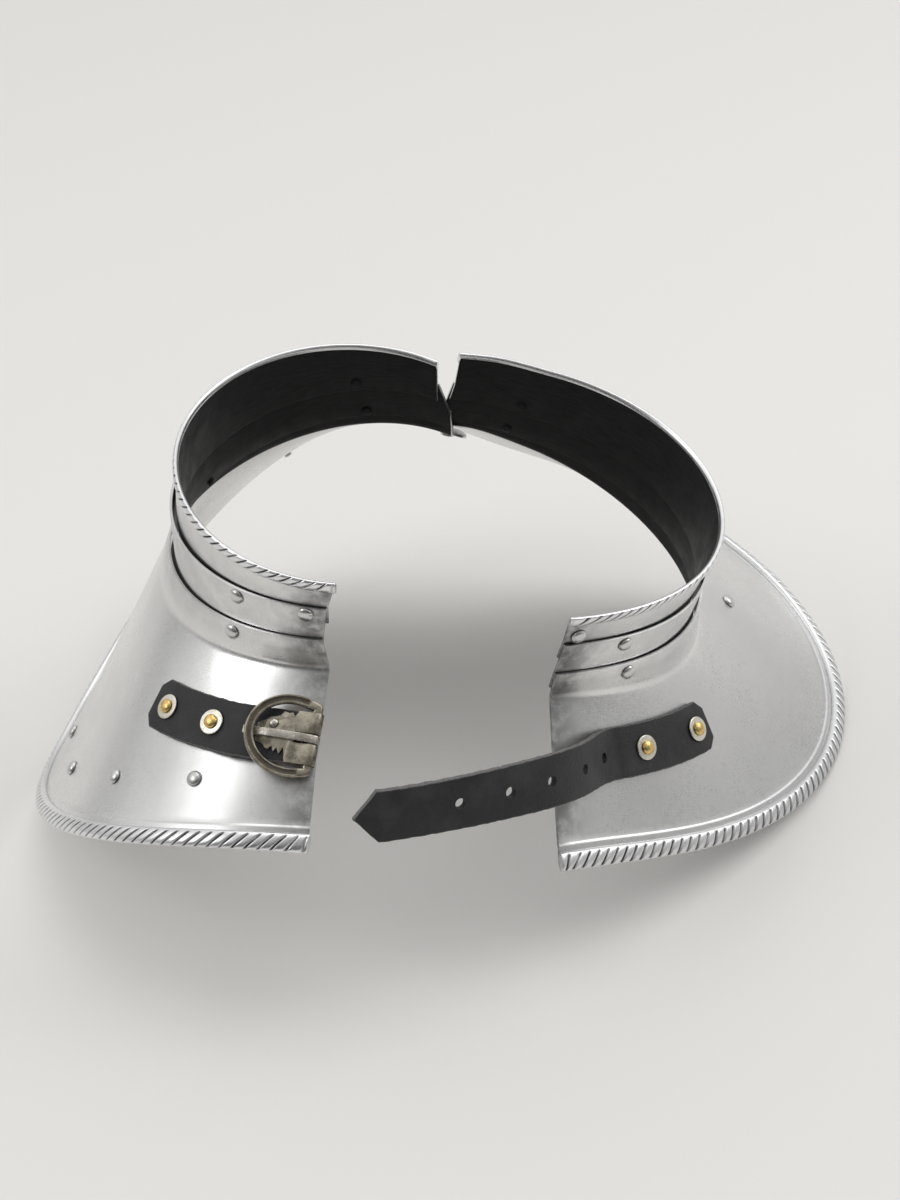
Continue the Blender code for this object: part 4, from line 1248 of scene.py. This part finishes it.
@dataclass
class RopedEdge:
    """The bead rolled outward along a rim or hem, with short slanting cuts in its outer face."""

    half: HalfShape
    band: Band
    guide_steps: int = 120

    @property
    def sizes(self) -> RopeSizes:
        """The sizes of this edge's bead."""
        return ROPES[self.band]

    def guide(self) -> tuple[np.ndarray, list[np.ndarray]]:
        """Follows the edge from its far to its near end.

        Returns:
            The running length, and the edge's points with the directions off the sheet and outward.
        """
        base = self.band is Band.BASE
        near, far = self.half.ends["hem" if base else "rim"]
        values: list[list[Vector]] = [[], [], []]
        for degrees in np.linspace(-far, near, self.guide_steps):
            section = self.half.section(self.band, float(degrees))
            tip, inner = (section[-1], section[-2]) if base else (section[0], section[1])
            way = (tip - inner) / np.linalg.norm(tip - inner)
            normal = np.array([-way[1], way[0]]) if base else np.array([way[1], -way[0]])
            point = self.half.place(float(degrees), tip)
            values[0].append(point)
            values[1].append(self.half.place(float(degrees), tip + way) - point)
            values[2].append(self.half.place(float(degrees), tip + normal) - point)
        arrays = [np.array(value) for value in values]
        steps = np.concatenate([[0.0], np.cumsum(np.linalg.norm(np.diff(arrays[0], axis=0), axis=1))])
        return steps, arrays

    def section(self) -> list[tuple[float, float, float]]:
        """Shapes the bead's closed section.

        Returns:
            Offset to the edge, offset outward and share of the cuts' depth for each point.
        """
        sizes = self.sizes
        wide, deep = sizes.half_width, sizes.half_depth
        starts, stops = sizes.cut_shares
        points = []
        for angle in np.linspace(0.0, math.pi, 23):
            across = wide * math.copysign(abs(math.cos(angle)) ** sizes.power, math.cos(angle))
            above = deep * abs(math.sin(angle)) ** sizes.power
            share = smooth_step(*starts, across / wide) * (1.0 - smooth_step(*stops, across / wide))
            points.append((across, above, share))
        for angle in np.linspace(math.pi * 1.1, 2.0 * math.pi, 9):
            points.append((wide * math.cos(angle), deep * math.sin(angle), 0.0))
        return points

    def build(self) -> bpy.types.Object:
        """Builds the bead.

        Returns:
            The mesh object in the closed collar's frame.
        """
        sizes = self.sizes
        steps, arrays = self.guide()
        total = steps[-1]
        shares, counts = np.array(sizes.stations), range(int(total / sizes.pitch) + 1)
        lengths = np.concatenate([(count + shares) * sizes.pitch for count in counts])
        lengths = lengths[(lengths > sizes.end_clear) & (lengths < total - sizes.end_clear)]
        step = sizes.end_step
        lengths = np.concatenate([[0.0, 0.0, step], lengths, [total - step, total, total]])
        scales = np.ones(len(lengths))
        scales[[0, -1]] = 0.0
        scales[[1, -2]] = sizes.end_scale
        phase = lengths / sizes.pitch
        groove = np.exp(-((phase - np.rint(phase)) / sizes.spread) ** 2)
        to_end = np.minimum(lengths, total - lengths)
        fade = np.clip(to_end / sizes.slant_fade, 0.0, 1.0)
        groove *= np.clip(to_end / sizes.cut_fade, 0.0, 1.0)
        section = self.section()
        points = np.zeros((len(lengths), len(section), 3))
        marks = np.zeros(points.shape[:2])
        for index, (across, above, share) in enumerate(section):
            shifted = np.clip(lengths + sizes.slant * self.half.side * across * fade, 0.0, total)
            edge, run, outward = (
                np.stack([np.interp(shifted, steps, value[:, axis]) for axis in range(3)], -1)
                for value in arrays)
            centre = edge - run * sizes.half_width
            centre += outward * (sizes.half_depth - SIZES.sheet / 2.0)
            high = above * scales - groove * share * sizes.depth
            points[:, index] = centre + run * (across * scales)[:, None] + outward * high[:, None]
            # The edge mark paints shade into the bottoms of the cuts.
            marks[:, index] = groove * share
        points = np.concatenate([points, points[:, :1]], axis=1)
        marks = np.concatenate([marks, marks[:, :1]], axis=1)
        name = f"{self.half.name.name.lower()}_{self.band.value[0]}_roped_edge"
        item = lattice_object(name, points, {"edge": marks})
        tidy_mesh(item, 1e-6)
        smooth(item, 55.0)
        return item


@dataclass
class TurnedPiece:
    """A rivet or washer turned on a fine lathe about the axis of its CAD node."""

    node: str
    body: str
    slot: str
    finish: Finish
    library: MaterialLibrary
    sides: int = 40
    rim_share: float = 0.9
    head_share: float = 0.97
    foot_share: float = 0.98
    dome_edge: float = 0.12
    dish: tuple[tuple[float, float], ...] = ((0.0, 0.0), (0.45, 0.12), (0.7, 0.16))

    def measure(self) -> tuple[Matrix, np.ndarray, np.ndarray]:
        """Finds the node's axis.

        Returns:
            The axis frame and the radii and heights of the node's vertices.
        """
        corners = np.array([vertex.co for vertex in frame["nodes"][self.node].data.vertices])
        corners = np.unique(np.round(corners, 6), axis=0)
        centre = corners.mean(0)
        values, axes = np.linalg.eigh(np.cov((corners - centre).T))
        axis = axes[:, 2] if values[1] - values[0] < values[2] - values[1] else axes[:, 0]
        heights = (corners - centre) @ axis
        radii = np.linalg.norm(corners - centre - np.outer(heights, axis), axis=1)
        if heights[radii > radii.max() * self.rim_share].mean() < (heights.max() + heights.min()) / 2.0:
            axis, heights = -axis, -heights
        across = Vector((1.0, 0.0, 0.0)) if abs(axis[0]) < 0.8 else Vector((0.0, 1.0, 0.0))
        return frame_of(Vector(centre), across, Vector(axis)), radii, heights

    def profile(self, radii: np.ndarray, heights: np.ndarray) -> list[tuple[float, float]]:
        """The profile as radius and height, from the head's top to the foot.

        Args:
            radii: The node's radii.
            heights: The node's heights.

        Returns:
            The profile's points.
        """
        head = float(radii.max())
        seat = float(heights[radii > head * self.head_share].min())
        top, bottom = float(heights.max()), float(heights.min())
        if self.finish is Finish.WASHER:
            bore, thick, middle = float(radii.min()), top - bottom, (top + bottom) / 2.0
            half = thick * 0.5
            dish = [(bore + (head - bore) * out, top + thick * rise) for out, rise in self.dish]
            rim = [(head - half + half * math.cos(a), middle + half * math.sin(a))
                   for a in np.linspace(math.pi / 2.0, -math.pi / 2.0, 9)]
            return dish + rim + [(bore, bottom), (bore, top)]
        edge = self.dome_edge
        dome = [(head * math.sin(a), seat + (top - seat) * (edge + (1.0 - edge) * math.cos(a)))
                for a in np.linspace(0.0, math.pi / 2.0, 12)]
        low = heights < (seat + bottom) / 2.0
        peen = float(radii[low].max())
        step = float(heights[low & (radii > peen * self.head_share)].max())
        shank = float(np.unique(np.round(radii[radii > 1e-4], 5)).min())
        foot = [(peen * math.cos(a), step - (step - bottom) * math.sin(a))
                for a in np.linspace(0.0, math.pi / 2.0, 7)]
        return dome + [(head * self.foot_share, seat), (shank, seat), (shank, step)] + foot

    def build(self) -> None:
        """Builds, dresses and settles the piece, with a painted inner end where it lies in the neck."""
        matrix, radii, heights = self.measure()
        profile = self.profile(radii, heights)
        points = np.array([[(radius * math.cos(a), radius * math.sin(a), height) for radius, height in profile]
                           for a in np.linspace(0.0, 2.0 * math.pi, self.sides + 1)])
        item = lattice_object(self.node + "_turned", points)
        tidy_mesh(item, 1e-6)
        smooth(item, 35.0)
        self.library.dress(item, self.finish, Finish.PAINT)
        if "lame_rivet" in self.node or self.node == "back_plate_rivet_2":
            middle = (heights.max() + heights.min()) / 2.0
            for polygon in item.data.polygons:
                polygon.material_index = 1 if polygon.center.z < middle else 0
        settle(item, matrix, self.body, self.slot, self.node)


@dataclass
class StrapPiece:
    """A leather strap with rounded faces, clipped or pointed ends and punched holes."""

    name: str
    frames: list[Matrix]
    length: float
    body: str
    placement: Matrix
    library: MaterialLibrary
    pointed: bool = False
    holes: Sequence[float] = field(default_factory=tuple)
    stations: int = 190

    def half_width(self, length: float) -> float:
        """Half the strap's width.

        Args:
            length: The length from its tail.

        Returns:
            Half the width there.
        """
        half = STRAPS.width / 2.0
        if length < STRAPS.clip:
            return half - STRAPS.clip * (1.0 - length / STRAPS.clip)
        if self.pointed and length > self.length - STRAPS.point:
            return max(half * (self.length - length) / STRAPS.point, STRAPS.tip_half)
        return half

    def station_lengths(self) -> np.ndarray:
        """Spaces the stations, close together at both ends.

        Returns:
            Their lengths from the tail.
        """
        step, tip = STRAPS.end_step, self.length - STRAPS.point
        return np.concatenate([[0.0, 0.0, step], np.linspace(2.0 * step, STRAPS.clip, 10),
                               np.linspace(STRAPS.clip + 2.0 * step, tip, self.stations),
                               np.linspace(tip + STRAPS.tip_half, self.length - STRAPS.tip_step, 16),
                               [self.length, self.length]])

    def build(self) -> None:
        """Builds, dresses and settles the strap."""
        thick, rounding = STRAPS.thickness, STRAPS.rounding
        frames = smooth_frames(self.frames)
        loop = []
        for corner, (x, z) in enumerate(((1.0, 1.0), (-1.0, 1.0), (-1.0, -1.0), (1.0, -1.0))):
            for step in range(6):
                angle = math.radians(90.0 * corner + 18.0 * step)
                loop.append((x, z, math.cos(angle), math.sin(angle)))
        loop.append(loop[0])
        lengths = self.station_lengths()
        last = len(lengths) - 1
        points = np.zeros((len(lengths), len(loop), 3))
        edge = np.zeros(points.shape[:2])
        noise = np.random.default_rng(7).normal(0.0, STRAPS.fray, points.shape[:2])
        wave, rate = STRAPS.wave
        for station, length in enumerate(lengths):
            matrix = frame_at(frames, float(length))
            half = self.half_width(float(length))
            shrink = 0.0 if station in (0, last) else 1.0
            tight = STRAPS.end_step if station in (1, last - 1) else 0.0
            for index, (x, z, cos, sin) in enumerate(loop):
                across = x * max(half - rounding, 0.0) + cos * rounding
                above = z * (thick / 2.0 - rounding) + sin * rounding
                side = abs(cos) > 0.35
                across += (noise[station, index] + wave * math.sin(length * rate)) if side else 0.0
                across = (across - math.copysign(tight, across)) * shrink
                above = (above - math.copysign(tight, above)) * shrink
                points[station, index] = matrix @ Vector((0.0, across, thick / 2.0 + above))
                edge[station, index] = 1.0 if side or station < 3 or station > last - 3 else 0.0
        edge[:, -1] = edge[:, 0]
        points[:, -1] = points[:, 0]
        item = lattice_object(self.name + "_leather", points, {"edge": edge})
        tidy_mesh(item, 2e-6)
        for length in self.holes:
            place = frame_at(frames, length)
            bpy.ops.object.select_all(action="DESELECT")
            bpy.ops.mesh.primitive_cylinder_add(vertices=32, radius=STRAPS.hole_radius,
                                                depth=STRAPS.punch_depth)
            punch = bpy.context.object
            punch.data.transform(place)
            subtract(item, punch)
        smooth(item, 50.0)
        self.library.dress(item, Finish.LEATHER)
        settle(item, self.placement, self.body, "leather", self.name)


@dataclass
class BucklePieces:
    """The D frame, prong and chape about the bar."""

    placement: Placement
    library: MaterialLibrary

    def frame_path(self) -> np.ndarray:
        """The D's middle line in its own plane, bar first.

        Returns:
            Points with X away from the bar.
        """
        half = STRAPS.frame_width / 2.0
        reach = STRAPS.frame_length - STRAPS.frame_shoulder
        arc = [(STRAPS.frame_shoulder + reach * math.cos(a), half * math.sin(a))
               for a in np.linspace(-math.pi / 2.0, math.pi / 2.0, 61)]
        bar = STRAPS.bar_length / 2.0
        side = [(STRAPS.frame_shoulder * t, bar + (half - bar) * math.sin(t * math.pi / 2.0))
                for t in np.linspace(0.0, 1.0, 12)[1:-1]]
        straight = [(0.0, y) for y in np.linspace(bar, -bar, 24)]
        return np.array(arc + side[::-1] + straight + [(x, -y) for x, y in side])

    def build_frame(self) -> None:
        """Builds the D frame with its flat face and raised borders."""
        path = self.frame_path()
        ahead, behind = np.roll(path, -1, axis=0), np.roll(path, 1, axis=0)
        tangent = (ahead - behind) / np.linalg.norm(ahead - behind, axis=1)[:, None]
        normal = np.stack([tangent[:, 1], -tangent[:, 0]], -1)
        angles = np.linspace(0.0, 2.0 * math.pi, 33)
        wide, high = STRAPS.ring_half
        points = np.zeros((len(path) + 1, len(angles), 3))
        hollow = np.zeros(points.shape[:2])
        for station in range(len(path) + 1):
            centre, way = path[station % len(path)], normal[station % len(path)]
            for index, angle in enumerate(angles):
                cos, sin = math.cos(angle), math.sin(angle)
                across = math.copysign(abs(cos) ** STRAPS.ring_power, cos) * wide
                above = math.copysign(abs(sin) ** STRAPS.ring_power, sin) * high
                past_bar = centre[0] > STRAPS.ring_dip_from
                share = smooth_step(*STRAPS.ring_dip_edges, abs(across)) if past_bar else 0.0
                above -= math.copysign(STRAPS.ring_dip * share, above)
                points[station, index] = (*(centre + way * across), above)
                hollow[station, index] = share
        item = lattice_object("buckle_frame_cast", points, {"edge": hollow})
        tidy_mesh(item, 1e-6)
        smooth(item, 60.0)
        self.library.dress(item, Finish.NICKEL)
        prong_top = STRAPS.thickness / 2.0 + 2.0 * STRAPS.play + STRAPS.chape_sheet + STRAPS.prong_thickness
        tilt = math.asin((prong_top + STRAPS.play + STRAPS.wire * 1.03) / STRAPS.frame_length)
        turn = Matrix.Rotation(math.pi, 4, "Z") @ Matrix.Rotation(-tilt, 4, "Y")
        settle(item, self.placement.front @ self.placement.bar @ turn, "buckle_frame", "antique_nickel",
               "buckle_frame")

    def build_copy(self, node: str, body: str, finish: Finish, bevel: float, segments: int) -> None:
        """Builds a piece from a merged copy of its CAD mesh with worn edges.

        Args:
            node: The CAD node.
            body: Its CAD body.
            finish: Its finish.
            bevel: The width of the edges' rounding.
            segments: The rounding's steps.
        """
        item = add_object(node + "_worn", frame["nodes"][node].data.copy())
        tidy_mesh(item, 1e-6)
        edit_all(item, ("dissolve_limited", {"angle_limit": math.radians(2.0)}))
        apply_modifier(item, "BEVEL", width=bevel, segments=segments, limit_method="ANGLE",
                       angle_limit=math.radians(35.0))
        smooth(item, 50.0)
        self.library.dress(item, finish)
        settle(item, Matrix.Identity(4), body, "antique_nickel", node)

    def build(self) -> None:
        """Builds all the buckle's pieces."""
        self.build_frame()
        self.build_copy("buckle_prong", "buckle_prong", Finish.WORN, 0.0006, 3)
        self.build_copy("buckle_chape", "front_half", Finish.NICKEL, 0.0002, 2)


@dataclass
class Studio:
    """The floor, the soft lights and the camera at the photo's angle."""

    placement: Placement
    eye: tuple[float, float, float] = (0.2749, -0.8039, 0.6851)
    target: tuple[float, float, float] = (0.0331, -0.0197, -0.0497)
    roll: float = 1.27
    focal_pixels: float = 2623.0
    image_height: float = 1200.0
    sensor: float = 36.0
    sensor: float = 36.0
    look_at: tuple[float, float, float] = (0.0, 0.0, 0.1)
    lights: tuple[tuple[str, tuple[float, float, float], tuple[float, float], float], ...] = (
        ("key", (-1.5, -0.5, 1.5), (1.0, 0.8), 6.0),
        ("fill", (1.5, 0.3, 1.3), (1.0, 1.0), 8.0),
        ("top", (0.1, 0.5, 2.2), (1.6, 1.2), 6.0))

    def build_floor(self) -> None:
        """Lays a plain pale floor."""
        bpy.ops.object.select_all(action="DESELECT")
        bpy.ops.mesh.primitive_plane_add(size=8.0, location=(0.0, 0.0, 0.0))
        floor = bpy.context.object
        floor.name = "studio_floor"
        material = bpy.data.materials.new("pale_floor")
        material.use_nodes = True
        Graph(material.node_tree).feed(material.node_tree.nodes["Principled BSDF"], {
            "Base Color": (0.80, 0.79, 0.77, 1.0), "Roughness": 0.85, "Specular IOR Level": 0.15})
        floor.data.materials.append(material)

    def add_light(self, name: str, place: tuple[float, float, float], size: tuple[float, float],
                  power: float) -> None:
        """Adds a soft rectangular light that looks at the gorget.

        Args:
            name: The light's name.
            place: Its place in the row frame.
            size: Its width and height.
            power: Its power in watts.
        """
        light = bpy.data.lights.new(name, "AREA")
        light.shape = "RECTANGLE"
        light.size, light.size_y = size
        light.energy = power
        item = add_object(name, light)
        item.location = place
        item.rotation_euler = (Vector(self.look_at) - Vector(place)).to_track_quat("-Z", "Y").to_euler()

    def build_world(self) -> None:
        """Gives the surroundings a pale sky with a darker horizon behind the camera."""
        world = bpy.data.worlds.new("studio")
        bpy.context.scene.world = world
        world.use_nodes = True
        graph = Graph(world.node_tree)
        place = graph.node("ShaderNodeTexCoord")
        split = graph.node("ShaderNodeSeparateXYZ", {"Vector": place.outputs["Generated"]})
        rise = graph.range(split.outputs["Z"], -0.05, 0.55, 0.0, 1.0)
        depth = graph.range(split.outputs["Y"], -0.80, 0.15, 0.16, 1.0)
        colour = graph.mix(rise, (0.34, 0.34, 0.345), (0.98, 0.975, 0.97))
        colour = graph.mix(depth, (0.0, 0.0, 0.0), colour)
        graph.feed(world.node_tree.nodes["Background"], {"Color": colour, "Strength": 1.0})

    def build_camera(self) -> None:
        """Sets the camera where the photo's camera stood to the gorget."""
        eye, target = Vector(self.eye), Vector(self.target)
        back = (eye - target).normalized()
        level = frame_of(eye, Vector((0.0, 0.0, 1.0)).cross(back), back)
        camera = bpy.data.cameras.new("photo_camera")
        camera.sensor_width = self.sensor
        camera.lens = self.focal_pixels * self.sensor / self.image_height
        camera.dof.use_dof = False
        item = add_object("photo_camera", camera)
        item.matrix_world = self.placement.front @ level @ Matrix.Rotation(math.radians(-self.roll), 4, "Z")
        bpy.context.scene.camera = item

    def build(self) -> None:
        """Builds the studio."""
        self.build_floor()
        self.build_world()
        for light in self.lights:
            self.add_light(*light)
        self.build_camera()
        scene = bpy.context.scene
        scene.view_settings.view_transform = "Standard"
        scene.view_settings.look = "None"


class Gorget:
    """The whole gorget: its halves, rivets, straps and buckle."""

    def __init__(self) -> None:
        """Builds the shapes, the placement and the materials."""
        self.shapes = {name: HalfShape(name, SIZES) for name in HalfName}
        self.placement = Placement(self.shapes[HalfName.FRONT], frame["joints"])
        self.library = MaterialLibrary()

    def build_sheets(self) -> None:
        """Builds the six sheets."""
        for shape in self.shapes.values():
            for band in Band:
                SheetPiece(shape, band, self.placement, self.library).build()

    def build_rivets(self) -> None:
        """Builds each rivet and washer from its CAD node."""
        kinds = (("strap_washer", "pale_brass", Finish.WASHER), ("strap_rivet", "brass", Finish.BRASS),
                 ("chape_rivet", "antique_nickel", Finish.WORN), ("rivet", "steel", Finish.RIVET))
        for node, item in sorted(frame["nodes"].items()):
            for word, slot, finish in kinds:
                if word in node:
                    TurnedPiece(node, item["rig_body"], slot, finish, self.library).build()
                    break

    def build_straps(self) -> None:
        """Builds the two straps."""
        frames = buckle_frames(self.shapes[HalfName.FRONT])
        length = distances(frames)[-1] - STRAPS.loop_outer - STRAPS.play
        StrapPiece("buckle_strap", frames, length, "front_half", self.placement.front, self.library,
                   stations=90).build()
        frames, on_plate = hole_frames(self.shapes[HalfName.BACK])
        holes = [on_plate + STRAPS.free_length * share for share in STRAPS.hole_shares]
        StrapPiece("hole_strap", frames, distances(frames)[-1], "back_half", self.placement.back,
                   self.library, pointed=True, holes=holes).build()

    def build(self) -> None:
        """Builds everything."""
        self.build_sheets()
        self.build_rivets()
        self.build_straps()
        BucklePieces(self.placement, self.library).build()


def main() -> None:
    """Builds the dressed gorget and its studio."""
    logging.basicConfig(level=logging.INFO, format="%(message)s")
    gorget = Gorget()
    gorget.build()
    Studio(gorget.placement).build()


if __name__ == "__main__":
    main()
